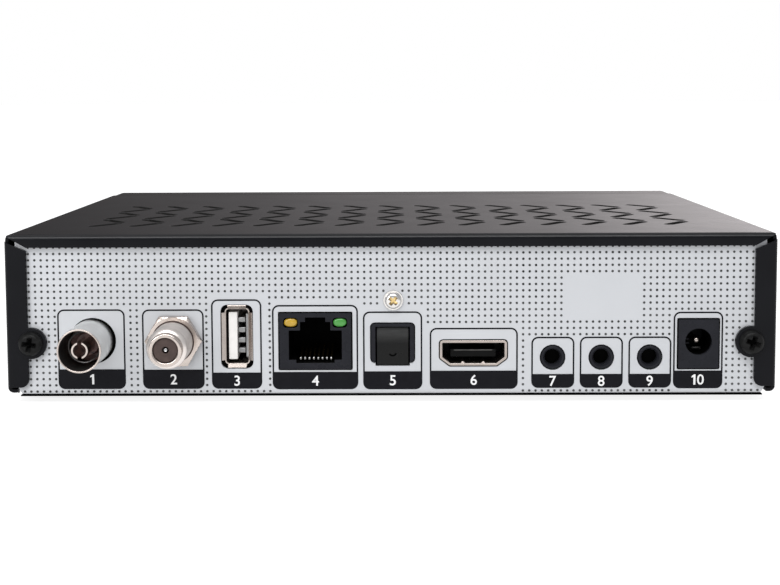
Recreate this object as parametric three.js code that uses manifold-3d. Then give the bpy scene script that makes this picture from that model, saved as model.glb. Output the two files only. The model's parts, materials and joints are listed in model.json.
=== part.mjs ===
// A satellite television receiver: a flat box of folded sheet steel with its sockets, front panel and inside.
// Millimetres, +Z up. The front panel faces -Y and the rear panel, with the sockets, faces +Y.
// The origin is on the ground under the middle of the whole object.
import * as THREE from "three";
import { mergeVertices } from "three/addons/utils/BufferGeometryUtils.js";
import Module from "manifold-3d";

// Case
const caseWidth = 170;
const caseDepth = 120; // from the front panel's face to the cover's rear flanges
const caseHeight = 36; // from the base's underside to the cover's top
const sheet = 0.8;
const sheetLap = 0.2; // between the rear panel and the cover's flanges
const seatGap = 0.1; // between pieces that rest on each other
const foldRadius = 1.2;
const overrun = 2; // how far a cutter passes the face that it cuts

// Feet
const footHeight = 1.8;
const footRadius = 5;
const footChamfer = 0.4;
const footInset = 14; // from the foot's centre to the chassis's edges

// Cover
const hemRise = 0.65; // the hem's underside above the base's underside
const hemWidth = 2;
const topFlange = 2.8;
const sideFlange = 4.9;
const flangeFoot = 2; // the side flanges' lower end above the base's underside
const flangeFootRadius = 1.7;
const mitreInnerGap = 0.5;
const mitreOuterGap = 1.6;
const lobeRadius = 3.5;
const coverScrewInset = 5.6; // from the screw's axis to the case's side
const coverScrewHeight = 11.9;

// Vents in the cover's top
const ventColumns = 15;
const ventRows = 6;
const ventRowPitch = 8.95;
const ventRearMargin = 17;
const ventSideMargin = 17.8; // from the outer slots' middles to the case's sides
const ventWidth = 2.5;
const ventRun = 4.4; // between a slot's end centres, across the case
const ventReach = 5.5; // between a slot's end centres, along the case

// Chassis
const chassisSideGap = 1.5; // between the chassis and the cover's side walls
const panelTopGap = 0.3; // between the rear panel's upper edge and the cover's top sheet
const sideLipHeight = 9;
const sideLipRelief = 3; // between the side lips and the rear panel
const frontLipHeight = 6.4;
const cornerCutWidth = 1;
const cornerCutHeight = 1.9;
const cutoutGap = 0.25; // around a socket in the rear panel
const baseVentColumns = 9;
const baseVentPitch = 9;
const baseVentLength = 22;
const baseVentWidth = 2.4;
const baseVentRowOffset = 17; // between each row's middle and the middle of the base

// Screws
const coverScrewHeadRadius = 2.8;
const coverScrewHeadHeight = 1.7;
const coverScrewShankRadius = 1.4;
const coverScrewLength = 6;
const panelScrewOffset = 0.15; // from the optical socket's middle
const panelScrewHeight = 21.2;
const panelScrewHeadRadius = 2;
const panelScrewCollarRadius = 2.4;
const panelScrewCollar = 0.4;
const panelScrewHeadHeight = 1.3;
const panelScrewShankRadius = 1.2;
const panelScrewLength = 5;
const boardScrewHeadRadius = 2.6;
const boardScrewHeadHeight = 1.5;
const boardScrewShankRadius = 1.15;
const boardScrewLength = 4;
const screwClearance = 0.2;
const crossArmShare = 0.62; // a cross recess's reach as a share of the head's radius
const crossWidthShare = 0.3; // its arms' width as a share of the head's radius
const crossDepthShare = 0.6; // its depth as a share of the head's height
const crownShare = 0.55; // the width of a head's flat crown as a share of its radius

// Main board
const boardSideGap = 6.7; // between the board and the chassis's sides
const boardThickness = 1.6;
const boardTop = 5.8;
const boardRearGap = 0.4; // between the board's rear edge and the rear panel
const boardFrontGap = 4; // between the board's front edge and the chassis's front lip
const bossRadius = 3;
const bossTipRadius = 2.2;
const boardScrewSideInset = 6; // from the screw's axis to the board's side
const boardScrewFrontInset = 7; // from the screw's axis to the board's front edge
const bossRearInset = 42; // from the rear bosses to the board's rear edge
const bossBoreRadius = 1.3;

// Aerial socket
const aerialPlaceShare = 0.8005; // the socket's place as a share of the rear panel's half width
const aerialHeight = 12.3;
const aerialCutRadius = 5.55;
const aerialReach = 11.7; // out of the rear panel
const aerialRadius = 4.75;
const aerialBoreRadius = 4.35;
const aerialFlangeRadius = 5.3;
const aerialFlange = 0.5;
const aerialInsulatorLength = 3;
const aerialBossRadius = 2.6;
const aerialBossLength = 2;
const aerialContactRadius = 1.8;
const aerialContactBore = 1.3;
const aerialContactRecess = 0.7; // the contact's tip below the shell's rim
const aerialSlitWidth = 0.5;
const aerialSlitLength = 5;

// Dish socket
const dishPlaceShare = 0.578;
const dishHeight = 12.4;
const dishCutRadius = 4.9;
const dishReach = 11.8;
const dishThreadRadius = 4.45;
const dishNoseRadius = 3.6;
const dishNoseLength = 1.6;
const dishShoulder = 0.9;
const dishBoreRadius = 2.7;
const dishFlangeRadius = 4.7;
const dishInsulatorRecess = 0.5;
const dishInsulatorLength = 4;
const dishPinHoleRadius = 0.55;
const dishPinHoleDepth = 3;
const dishNutAcross = 11;
const dishNutThickness = 2;
const dishNutChamfer = 0.4;
const dishNutSides = 6;

// Tuner cans behind the two coaxial sockets
const tunerGap = 0.7; // between a can and the rear panel
const tunerLength = 32;
const tunerTop = 19.6;
const tunerLid = 4; // how far the lid's skirt comes down
const tunerLidThickness = 0.3;
const tunerSpacing = 2.9; // between the two cans

// USB socket
const usbPlaceShare = 0.41;
const usbHeight = 13.13;
const usbCutWidth = 7.2;
const usbCutHeight = 14.35;
const usbCutRadius = 1.5;
const usbLipChamfer = 1.3;
const usbLipThickness = 0.8;
const usbBoreWidth = 5.15;
const usbBoreHeight = 12.1;
const usbWall = 0.35;
const usbLength = 14;
const usbTongueThickness = 2;
const usbTongueHeight = 10.6;
const usbTongueOffset = 1; // from the socket's middle to the tongue's middle
const usbTongueRecess = 1.2;
const usbBackThickness = 2;

// Network socket
const networkPlaceShare = 0.2;
const networkWidth = 15.9;
const networkTop = 18.4;
const networkProud = 0.3;
const networkLength = 15.5;
const networkCavityWidth = 11.65;
const networkCavityFloor = 8;
const networkCavityTop = 14.5;
const networkCavityDepth = 12;
const networkLatchWidth = 6.6;
const networkLatchTop = 16.4;
const networkKeyWidth = 4.4;
const networkKeyTop = 17.4;
const networkGrooveWidth = 8.4;
const networkGrooveFloor = 7.3;
const contactCount = 8;
const contactPitch = 0.97;
const contactWidth = 0.45;
const contactThickness = 0.3;
const contactFrontRecess = 2;
const contactRise = 9.7; // height of a contact's free end
const contactArmLength = 7;
const contactCarrierLength = 1.4;
const contactCarrierTop = 9.6;
const networkLampX = 5.45; // from the socket's middle
const networkLampHeight = 16.25;
const networkLampWidth = 3;
const networkLampDepth = 2;
const networkLampRise = 1.95;
const networkLampRoundShare = 0.33; // a lamp's corner radius as a share of its height

// Optical socket
const opticalPlaceShare = -0.0067;
const opticalFrameWidth = 9.5;
const opticalFrameBottom = 7.4;
const opticalFrameTop = 16;
const opticalFrameRadius = 0.8;
const opticalProud = 0.3;
const opticalBodyWidth = 10.6;
const opticalBodyTop = 16.3;
const opticalBodySetback = 1; // the wide body's rear face behind the panel's face
const opticalLength = 13;
const opticalCavityWidth = 7.6;
const opticalCavityFloor = 6.5;
const opticalCavityTop = 15.3;
const opticalCavityDepth = 10;
const shutterGap = 0.13;
const shutterThickness = 0.9;
const shutterRecess = 0.4; // the shutter's face below the frame's face
const shutterPivotHeight = 14.6;
const shutterFloorGap = 0.2;
const shutterPinRadius = 0.35;
const shutterPinLength = 0.5;
const shutterPinGap = 0.12;

// Multimedia socket
const mediaPlaceShare = -0.2225;
const mediaTop = 12.2;
const mediaShoulder = 8.2; // where the sides start to slant in
const mediaBottom = 6.55;
const mediaWidth = 14.85;
const mediaBottomWidth = 10.4;
const mediaRadius = 0.7;
const mediaWall = 0.55;
const mediaProud = 0.15;
const mediaLength = 11.5;
const mediaTongueWidth = 10;
const mediaTongueTop = 9.95;
const mediaTongueBottom = 8.3;
const mediaTongueRecess = 1.4;
const mediaBackThickness = 2;

// Audio, control and service jacks
const jackPlaceShares = [-0.434, -0.564, -0.693];
const jackNames = ["service_jack", "sound_and_picture_jack", "remote_eye_jack"];
const jackHeight = 8.35;
const jackRadius = 2.62;
const jackBoreRadius = 1.75;
const jackBoreDepth = 11;
const jackProud = 0.2;
const jackLength = 12.5;
const jackBodyWidth = 8.4;
const jackBodyTop = 11.2;
const jackCollarSetback = 1; // the wide body's rear face behind the panel's face

// Power jack
const powerPlaceShare = -0.822;
const powerWidth = 8.85;
const powerTop = 16.75;
const powerProud = 0.3;
const powerLength = 14;
const powerBoreHeight = 11.8;
const powerBoreRadius = 2.95;
const powerBoreDepth = 9.5;
const powerPinRadius = 1.05;
const powerPinRecess = 1.5; // the pin's tip behind the panel's face
const powerPinTaper = 0.4;

// Ground bracket behind the panel screw
const bracketWidth = 7;
const bracketTop = 24.6;
const bracketStrapHeight = 17;
const bracketRearGap = 0.1;
const bracketLegGap = 0.8; // between the leg and the optical socket
const bracketFoot = 4;

// Front panel
const frontDepth = 12;
const frontWall = 2.4;
const frontSideWall = 2;
const frontRadius = 2;
const frontSeam = 0.3; // between the moulding and the cover
const rimReach = 3;
const rimThickness = 1.2;
const rimGap = 0.25; // between the rim and the cover's inner faces
const rimFoot = 10;
const windowSideInset = 39; // from the window's left edge to the case's side
const windowButtonGap = 4; // between the window and the nearest button
const windowHeight = 17;
const windowRaise = 0.5; // of the window's middle above the case's middle
const windowThickness = 1.5;
const windowRadius = 1.5;
const windowLedge = 2;
const windowGap = 0.15;
const hookPlaceShares = [-0.7, 0, 0.7]; // as shares of the case's half width
const hookWidth = 6;
const hookThickness = 1.4;
const hookBottom = 3;
const hookReach = 3.4;
const hookBarb = 0.6;
const hookGap = 0.3;
const hookRootShare = 0.33; // how far a hook's root reaches into the moulding, as a share of its depth
const leftPostInset = 19; // from the post's middle to the case's side
const rightPostInset = 9;
const postRadius = 2;

// Push buttons
const buttonSideInset = 17; // from the power button's middle to the case's side
const buttonPitch = 11;
const buttonWidth = 8;
const powerButtonHeight = 8;
const channelButtonHeight = 5;
const buttonProud = 0.6;
const buttonTravel = 0.5;
const buttonGap = 0.2; // between a button and its hole
const buttonFlange = 0.8;
const buttonFlangeWidth = 0.9; // how far the flange reaches past the hole
const buttonFlangeGap = 0.15;
const buttonPostRadius = 1.5;
const buttonCrown = 0.5;
const buttonRoundShare = 0.97; // a button's corner radius as a share of half its smaller side

// Front board and what it carries
const frontBoardSideGap = 7; // between the board and the case's sides
const frontBoardEdgeGap = 6; // between the board and the case's top and underside
const frontBoardFace = 9.2; // the board's front side behind the moulding's face
const switchWidth = 6;
const switchDepth = 3.5;
const switchRoundShare = 0.12; // a switch's corner radius as a share of its width
const plungerRadius = 1.7;
const plungerReach = 0.9;
const plungerLength = 2.4;
const plungerGap = 0.15;
const displayInfraredGap = 4; // between the display and the infrared receiver
const displayLampGap = 9.5; // between the display and the standby lamp
const displayHeight = 13;
const displayFace = 3; // the display's face behind the moulding's face
const infraredInset = 8; // from its middle to the window's left edge
const infraredWidth = 6;
const infraredHeight = 7;
const infraredDepth = 3;
const infraredLensRadius = 2.2;
const lampInset = 8; // from its middle to the window's right edge
const lampRadius = 1.5;
const lampLength = 5;
const headerPlaceShare = 0.235; // as a share of the case's half width
const headerWidth = 22;
const headerDepth = 5;
const headerHeight = 5;
const headerBladeHeight = 8.6; // height of the pins' axis
const headerBladeThickness = 0.64;

// Parts on the main board
const chipPlaceShare = 0.07; // as a share of the case's half width
const chipDepthShare = 0.467; // from a chip's middle to the rear panel, as a share of the case's depth
const chipWidth = 19;
const chipThickness = 1.4;
const sinkWidth = 26;
const sinkBase = 2.5;
const sinkHeight = 12;
const finCount = 8;
const finShare = 0.42; // a fin's thickness as a share of the fins' pitch
const memoryPlaceShare = -0.26; // as a share of the case's half width
const memoryWidth = 13.5;
const memoryLength = 9;
const memoryThickness = 1.1;
const capacitorSideInset = 14; // from the outer capacitors' middles to the board's side
const capacitorRearInset = 28; // from the rear capacitors' middles to the rear panel
const capacitorSpacing = 12.5;
const capacitorSteps = [[0, 0], [0, 1], [1, 0]]; // places in spacings, inwards and forwards
const capacitorRadius = 4;
const capacitorHeight = 11.5;
const capacitorGroove = 0.35;
const capacitorRim = 1.6;
const inductorSideInset = 27; // from its middle to the board's side
const inductorInset = 42;
const inductorWidth = 10;
const inductorHeight = 5;
const inductorChamfer = 2;
const crystalPlaceShare = 0.282; // as a share of the case's half width
const crystalGap = 4.7; // between the crystal and the heat sink
const crystalWidth = 11;
const crystalDepth = 4.6;
const crystalHeight = 3.4;

// How finely round forms are cut
const cornerSteps = 2; // half the facets of a rounded corner
const socketSides = 28;
const jackSides = 20;
const screwSides = 14;
const smallSides = 10;
const ventEndSides = 3;
const weldDistance = 1e-4;

// Places that follow from the sizes. In the assembly y is 0 on the rear panel's outer face and grows outwards,
// z is 0 on the base's underside, and x is 0 in the middle.
const halfWidth = caseWidth / 2;
const coverRear = sheetLap + sheet;
const frontFace = coverRear - caseDepth;
const mouldingRear = frontFace + frontDepth;
const coverFront = mouldingRear + frontSeam;
const chassisFront = mouldingRear + frontSeam;
const chassisHalf = halfWidth - sheet - chassisSideGap;
const ventColumnPitch = (caseWidth - 2 * ventSideMargin) / (ventColumns - 1);
const panelTop = caseHeight - sheet - panelTopGap;
const boardRear = -sheet - boardRearGap;
const boardFront = chassisFront + sheet + boardFrontGap;
const boardBottom = boardTop - boardThickness;
const boardSide = chassisHalf - boardSideGap;
const boardScrewX = boardSide - boardScrewSideInset;
const seatTop = boardTop + seatGap; // where parts stand on the main board
const aerialX = chassisHalf * aerialPlaceShare;
const dishX = chassisHalf * dishPlaceShare;
const usbX = chassisHalf * usbPlaceShare;
const networkX = chassisHalf * networkPlaceShare;
const opticalX = chassisHalf * opticalPlaceShare;
const mediaX = chassisHalf * mediaPlaceShare;
const jackXs = jackPlaceShares.map((share) => chassisHalf * share);
const powerX = chassisHalf * powerPlaceShare;
const panelScrewX = opticalX - panelScrewOffset;
const tunerWidth = aerialX - dishX - tunerSpacing - 2 * tunerLidThickness;
const windowMiddle = caseHeight / 2 + windowRaise;
const buttons = {
  power: { x: halfWidth - buttonSideInset, height: powerButtonHeight },
  channel_down: { x: halfWidth - buttonSideInset - 2 * buttonPitch, height: channelButtonHeight },
  channel_up: { x: halfWidth - buttonSideInset - buttonPitch, height: channelButtonHeight },
};
const hookXs = hookPlaceShares.map((share) => halfWidth * share);
const postXs = [leftPostInset - halfWidth, halfWidth - rightPostInset];
const windowLeft = windowSideInset - halfWidth;
const windowRight = buttons.channel_down.x - buttonWidth / 2 - windowButtonGap;
const windowX = (windowLeft + windowRight) / 2;
const windowWidth = windowRight - windowLeft;
const rearReach = Math.max(aerialReach, dishReach);
const wholeDepth = buttonProud + caseDepth - coverRear + rearReach;
const panelY = wholeDepth / 2 - rearReach;

const wasm = await Module();
wasm.setup();

// Turns a closed geometry into a solid that can be cut and joined.
function solidFrom(geometry) {
  const plain = geometry.clone();
  plain.deleteAttribute("normal");
  plain.deleteAttribute("uv");
  const merged = mergeVertices(plain, weldDistance);
  return new wasm.Manifold(
    new wasm.Mesh({
      numProp: 3,
      vertProperties: merged.attributes.position.array,
      triVerts: Uint32Array.from(merged.index.array),
    }),
  );
}

function geometryFrom(solid) {
  const { vertProperties, triVerts } = solid.getMesh();
  const geometry = new THREE.BufferGeometry();
  geometry.setAttribute("position", new THREE.BufferAttribute(vertProperties, 3));
  geometry.setIndex(new THREE.BufferAttribute(triVerts, 1));
  const faceted = geometry.toNonIndexed();
  faceted.computeVertexNormals();
  return faceted;
}

const joined = (...solids) => solids.reduce((whole, next) => whole.add(next));
const cutBy = (solid, ...cutters) => cutters.reduce((rest, cutter) => rest.subtract(cutter), solid);

const unitX = new THREE.Vector3(1, 0, 0);
const unitY = new THREE.Vector3(0, 1, 0);
const unitZ = new THREE.Vector3(0, 0, 1);
const pushedAlongX = new THREE.Matrix4().makeBasis(unitY, unitZ, unitX);
const pushedAlongY = new THREE.Matrix4().makeBasis(unitX, unitZ, unitY.clone().negate());

function pushed(shape, depth) {
  return new THREE.ExtrudeGeometry(shape, { depth, bevelEnabled: false, curveSegments: cornerSteps });
}

// Drawn in y and z, pushed along x from low to high.
function bar(shape, low, high) {
  return solidFrom(pushed(shape, high - low).translate(0, 0, low).applyMatrix4(pushedAlongX));
}

// Drawn in x and z, pushed along y from low to high.
function plate(shape, low, high) {
  return solidFrom(pushed(shape, high - low).translate(0, 0, -high).applyMatrix4(pushedAlongY));
}

// Drawn in x and y, pushed along z from low to high.
function slab(shape, low, high) {
  return solidFrom(pushed(shape, high - low).translate(0, 0, low));
}

// A closed outline through its corners, each given as [across, up] or [across, up, radius of its round].
function outline(corners) {
  const shape = new THREE.Shape();
  corners.forEach(([across, up, radius = 0], i) => {
    const corner = new THREE.Vector2(across, up);
    if (radius === 0) {
      if (i === 0) shape.moveTo(across, up);
      else shape.lineTo(across, up);
      return;
    }
    const [beforeAcross, beforeUp] = corners.at(i - 1);
    const [afterAcross, afterUp] = corners[(i + 1) % corners.length];
    const toBefore = new THREE.Vector2(beforeAcross, beforeUp).sub(corner).normalize();
    const toAfter = new THREE.Vector2(afterAcross, afterUp).sub(corner).normalize();
    const halfAngle = Math.acos(toBefore.dot(toAfter)) / 2;
    const inwards = toBefore.clone().add(toAfter).normalize();
    const centre = corner.clone().addScaledVector(inwards, radius / Math.sin(halfAngle));
    const setback = radius / Math.tan(halfAngle);
    const enter = corner.clone().addScaledVector(toBefore, setback).sub(centre);
    const leave = corner.clone().addScaledVector(toAfter, setback).sub(centre);
    const clockwise = toBefore.cross(toAfter) > 0;
    shape.absarc(centre.x, centre.y, radius, enter.angle(), leave.angle(), clockwise);
  });
  return shape;
}

// The corners of an outline, drawn counter-clockwise, moved in by a distance, or out by a negative one.
function drawnIn(corners, distance) {
  return corners.map(([across, up, radius = 0], i) => {
    const corner = new THREE.Vector2(across, up);
    const [beforeAcross, beforeUp] = corners.at(i - 1);
    const [afterAcross, afterUp] = corners[(i + 1) % corners.length];
    const toBefore = new THREE.Vector2(beforeAcross, beforeUp).sub(corner).normalize();
    const toAfter = new THREE.Vector2(afterAcross, afterUp).sub(corner).normalize();
    const halfAngle = Math.acos(toBefore.dot(toAfter)) / 2;
    const side = toBefore.cross(toAfter) > 0 ? -1 : 1;
    const inwards = toBefore.clone().add(toAfter).normalize();
    corner.addScaledVector(inwards, (side * distance) / Math.sin(halfAngle));
    return [corner.x, corner.y, radius === 0 ? 0 : Math.max(radius - side * distance, 0)];
  });
}

function rectangle(left, right, bottom, top, radius = 0) {
  return [
    [left, bottom, radius],
    [right, bottom, radius],
    [right, top, radius],
    [left, top, radius],
  ];
}

function circle(across, up, radius, sides) {
  const points = Array.from({ length: sides }, (_, i) => {
    const angle = (2 * Math.PI * (i + 1 / 2)) / sides;
    return new THREE.Vector2(across + radius * Math.cos(angle), up + radius * Math.sin(angle));
  });
  return new THREE.Shape(points);
}

// A slot with round ends: two half circles whose centres lie a run and a reach apart.
function slot(across, up, run, reach, width) {
  const direction = Math.atan2(reach, run);
  const points = [];
  [1, -1].forEach((end) => {
    for (let step = 0; step <= ventEndSides; step += 1) {
      const angle = direction + (end * Math.PI) / 2 - Math.PI + (Math.PI * step) / ventEndSides;
      const turned = end > 0 ? angle : angle + 2 * Math.PI;
      points.push(
        new THREE.Vector2(
          across + (end * run) / 2 + (width / 2) * Math.cos(turned),
          up + (end * reach) / 2 + (width / 2) * Math.sin(turned),
        ),
      );
    }
  });
  return new THREE.Shape(points);
}

// A profile of [radius, place along the axis] turned about the y axis.
function turned(profile, sides) {
  const points = profile.map(([radius, along]) => new THREE.Vector2(radius, along));
  return new THREE.LatheGeometry(points, sides);
}

const turnedAlongY = (profile, sides) => solidFrom(turned(profile, sides));
const turnedAlongZ = (profile, sides) => solidFrom(turned(profile, sides).rotateX(Math.PI / 2));

function rod(radius, low, high, sides) {
  return turnedAlongY([[0, low], [radius, low], [radius, high], [0, high]], sides);
}

function tube(radius, bore, low, high, sides) {
  return turnedAlongY([[bore, low], [radius, low], [radius, high], [bore, high], [bore, low]], sides);
}

// Finishes
function finish(colour, roughness, metalness) {
  return new THREE.MeshStandardMaterial({ color: colour, roughness, metalness });
}
const blackPaint = finish(0x1c1c20, 0.5, 0.1);
const printedSteel = finish(0xccd0d4, 0.55, 0.2);
const blackRubber = finish(0x141414, 0.9, 0);
const blackScrewSteel = finish(0x202024, 0.4, 0.7);
const brightSteel = finish(0xd8d4cc, 0.3, 1);
const satinNickel = finish(0xb8b8b4, 0.35, 1);
const warmNickel = finish(0xc8bcae, 0.35, 1);
const brownPlastic = finish(0x4a3a36, 0.6, 0);
const whitePlastic = finish(0xe8e8e8, 0.5, 0);
const blackPlastic = finish(0x222326, 0.55, 0);
const glossBlackPlastic = finish(0x0e0e10, 0.15, 0);
const smokedPlastic = finish(0x18181c, 0.08, 0);
const goldPlate = finish(0xd0a850, 0.3, 1);
const amberLens = finish(0xe0a020, 0.3, 0);
const greenLens = finish(0x30b050, 0.3, 0);
const redLens = finish(0xa02020, 0.3, 0);
const boardGreen = finish(0x1c5a34, 0.5, 0);
const tinnedSteel = finish(0xb0b2b4, 0.35, 1);
const chipBlack = finish(0x2a2a2c, 0.6, 0);
const blackAluminium = finish(0x26262a, 0.5, 0.8);
const capacitorSleeve = finish(0x20242c, 0.4, 0.1);

const receiver = new THREE.Group();
const assembly = new THREE.Group();
assembly.position.set(0, panelY, footHeight);
receiver.add(assembly);

function piece(name, solid, material, x = 0, y = 0, z = 0, parent = assembly) {
  const mesh = new THREE.Mesh(geometryFrom(solid), material);
  mesh.name = name;
  mesh.position.set(x, y, z);
  parent.add(mesh);
}

// Top cover
// A block with the case's folded edges: three rounded profiles that cross each other.
function foldedBlock(inset, front) {
  const radius = foldRadius - inset;
  const side = halfWidth - inset;
  const bottom = hemRise + inset;
  const top = caseHeight - inset;
  const rear = coverRear - inset;
  const across = plate(outline(rectangle(-side, side, bottom, top, radius)), front, rear);
  const along = bar(outline([[front, bottom], [rear, bottom], [rear, top, radius], [front, top]]), -side, side);
  const plan = slab(outline([[-side, front], [side, front], [side, rear, radius], [-side, rear, radius]]), bottom, top);
  return across.intersect(along).intersect(plan);
}

function ventShapes() {
  const shapes = [];
  for (let column = 0; column < ventColumns; column += 1) {
    for (let row = 0; row < ventRows; row += 1) {
      const x = (column - (ventColumns - 1) / 2) * ventColumnPitch;
      const y = coverRear - ventRearMargin - (row + 1 / 2) * ventRowPitch;
      const lean = row % 2 === 0 ? 1 : -1;
      shapes.push(slot(x, y, lean * ventRun, ventReach, ventWidth));
    }
  }
  return shapes;
}

const coverScrewX = halfWidth - coverScrewInset;

function coverRearOpening() {
  const inner = halfWidth - sideFlange;
  const beyond = halfWidth + overrun;
  const corners = [
    [-beyond, -overrun],
    [beyond, -overrun],
    [beyond, flangeFoot],
    [inner, flangeFoot, flangeFootRadius],
    [inner, caseHeight - topFlange],
    [-inner, caseHeight - topFlange],
    [-inner, flangeFoot, flangeFootRadius],
    [-beyond, flangeFoot],
  ];
  const lobes = [-1, 1].map((side) =>
    plate(circle(side * coverScrewX, coverScrewHeight, lobeRadius, jackSides), -overrun, coverRear + overrun),
  );
  return cutBy(plate(outline(corners), 0, coverRear + overrun), ...lobes);
}

// The gap at a corner of the rear flanges, narrow at its inner end and wide at the case's corner.
function mitreGap(side) {
  const inner = new THREE.Vector2(halfWidth - sideFlange, caseHeight - topFlange);
  const outer = new THREE.Vector2(halfWidth, caseHeight);
  const along = outer.clone().sub(inner).normalize();
  const across = new THREE.Vector2(-along.y, along.x);
  const start = inner.clone().addScaledVector(along, -mitreOuterGap);
  const end = outer.clone().addScaledVector(along, mitreOuterGap);
  const points = [
    start,
    start.clone().addScaledVector(across, -mitreInnerGap),
    end.clone().addScaledVector(across, -mitreOuterGap),
    end,
  ].map((point) => new THREE.Vector2(side * point.x, point.y));
  if (side > 0) points.reverse();
  return plate(new THREE.Shape(points), sheetLap - sheet, coverRear + overrun);
}

function topCover() {
  const shell = foldedBlock(0, coverFront);
  const hollow = foldedBlock(sheet, coverFront - overrun);
  const underside = slab(
    outline(rectangle(-halfWidth + hemWidth, halfWidth - hemWidth, coverFront - overrun, sheetLap)),
    0,
    hemRise + sheet + overrun,
  );
  const screwHoles = [-1, 1].map((side) =>
    plate(
      circle(side * coverScrewX, coverScrewHeight, coverScrewShankRadius + screwClearance, smallSides),
      -overrun,
      coverRear + overrun,
    ),
  );
  const vents = slab(ventShapes(), caseHeight - sheet - overrun, caseHeight + overrun);
  return cutBy(shell, hollow, underside, coverRearOpening(), mitreGap(-1), mitreGap(1), ...screwHoles, vents);
}
piece("top_cover", topCover(), blackPaint);

// Socket outlines, which the rear panel's cut-outs follow
function mediaCorners() {
  return [
    [-mediaBottomWidth / 2, mediaBottom, mediaRadius],
    [mediaBottomWidth / 2, mediaBottom, mediaRadius],
    [mediaWidth / 2, mediaShoulder, mediaRadius],
    [mediaWidth / 2, mediaTop, mediaRadius],
    [-mediaWidth / 2, mediaTop, mediaRadius],
    [-mediaWidth / 2, mediaShoulder, mediaRadius],
  ];
}

const networkCorners = rectangle(-networkWidth / 2, networkWidth / 2, seatTop, networkTop);
const powerCorners = rectangle(-powerWidth / 2, powerWidth / 2, seatTop, powerTop);
const usbLipWidth = usbCutWidth - cutoutGap;
const usbLipHeight = usbCutHeight - cutoutGap;
const opticalHalf = opticalFrameWidth / 2;
const shutterHalf = opticalCavityWidth / 2 - shutterGap;
const shutterBottom = opticalCavityFloor + shutterFloorGap;

function opticalFrameCorners() {
  return rectangle(-opticalHalf, opticalHalf, opticalFrameBottom, opticalFrameTop, opticalFrameRadius);
}

function shiftedBy(corners, x) {
  return corners.map(([across, up, radius]) => [across + x, up, radius]);
}

// Chassis
function panelCutouts() {
  const shapes = [
    circle(aerialX, aerialHeight, aerialCutRadius, socketSides),
    circle(dishX, dishHeight, dishCutRadius, socketSides),
    outline(
      shiftedBy(
        rectangle(
          -usbCutWidth / 2,
          usbCutWidth / 2,
          usbHeight - usbCutHeight / 2,
          usbHeight + usbCutHeight / 2,
          usbCutRadius,
        ),
        usbX,
      ),
    ),
    outline(shiftedBy(drawnIn(networkCorners, -cutoutGap), networkX)),
    outline(shiftedBy(drawnIn(mediaCorners(), -cutoutGap), mediaX)),
    outline(shiftedBy(drawnIn(powerCorners, -cutoutGap), powerX)),
    circle(panelScrewX, panelScrewHeight, panelScrewShankRadius + screwClearance, smallSides),
    ...jackXs.map((x) => circle(x, jackHeight, jackRadius + cutoutGap, jackSides)),
    ...[-1, 1].map((side) =>
      circle(side * coverScrewX, coverScrewHeight, coverScrewShankRadius + screwClearance, smallSides),
    ),
  ];
  const opticalFrame = outline(shiftedBy(drawnIn(opticalFrameCorners(), -cutoutGap), opticalX));
  const shutterNotch = outline(
    rectangle(
      opticalX - opticalCavityWidth / 2,
      opticalX + opticalCavityWidth / 2,
      opticalCavityFloor,
      opticalFrameBottom + opticalFrameRadius,
    ),
  );
  return [...shapes, opticalFrame, shutterNotch].map((shape) => plate(shape, -sheet - overrun / 2, overrun));
}

function cornerCut(side) {
  const points = [
    new THREE.Vector2(side * (chassisHalf - cornerCutWidth), 0),
    new THREE.Vector2(side * (chassisHalf + overrun), -overrun),
    new THREE.Vector2(side * (chassisHalf + overrun), cornerCutHeight),
    new THREE.Vector2(side * chassisHalf, cornerCutHeight),
  ];
  if (side < 0) points.reverse();
  return plate(new THREE.Shape(points), -sideLipRelief, overrun);
}

function baseVentShapes() {
  const shapes = [];
  for (let column = 0; column < baseVentColumns; column += 1) {
    [-1, 1].forEach((row) => {
      const x = (column - (baseVentColumns - 1) / 2) * baseVentPitch;
      const y = (boardRear + boardFront) / 2 + row * baseVentRowOffset;
      shapes.push(slot(x, y, 0, baseVentLength, baseVentWidth));
    });
  }
  return shapes;
}

const boardScrewY = boardFront + boardScrewFrontInset;
const bossPlaces = [
  [-boardScrewX, boardScrewY],
  [boardScrewX, boardScrewY],
  [-boardScrewX, boardRear - bossRearInset],
  [boardScrewX, boardRear - bossRearInset],
];

function boss() {
  const top = boardBottom - seatGap;
  const profile = [[0, 0], [bossRadius, 0], [bossRadius, sheet], [bossTipRadius, top], [0, top]];
  return turned(profile, screwSides).rotateX(Math.PI / 2);
}

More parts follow.
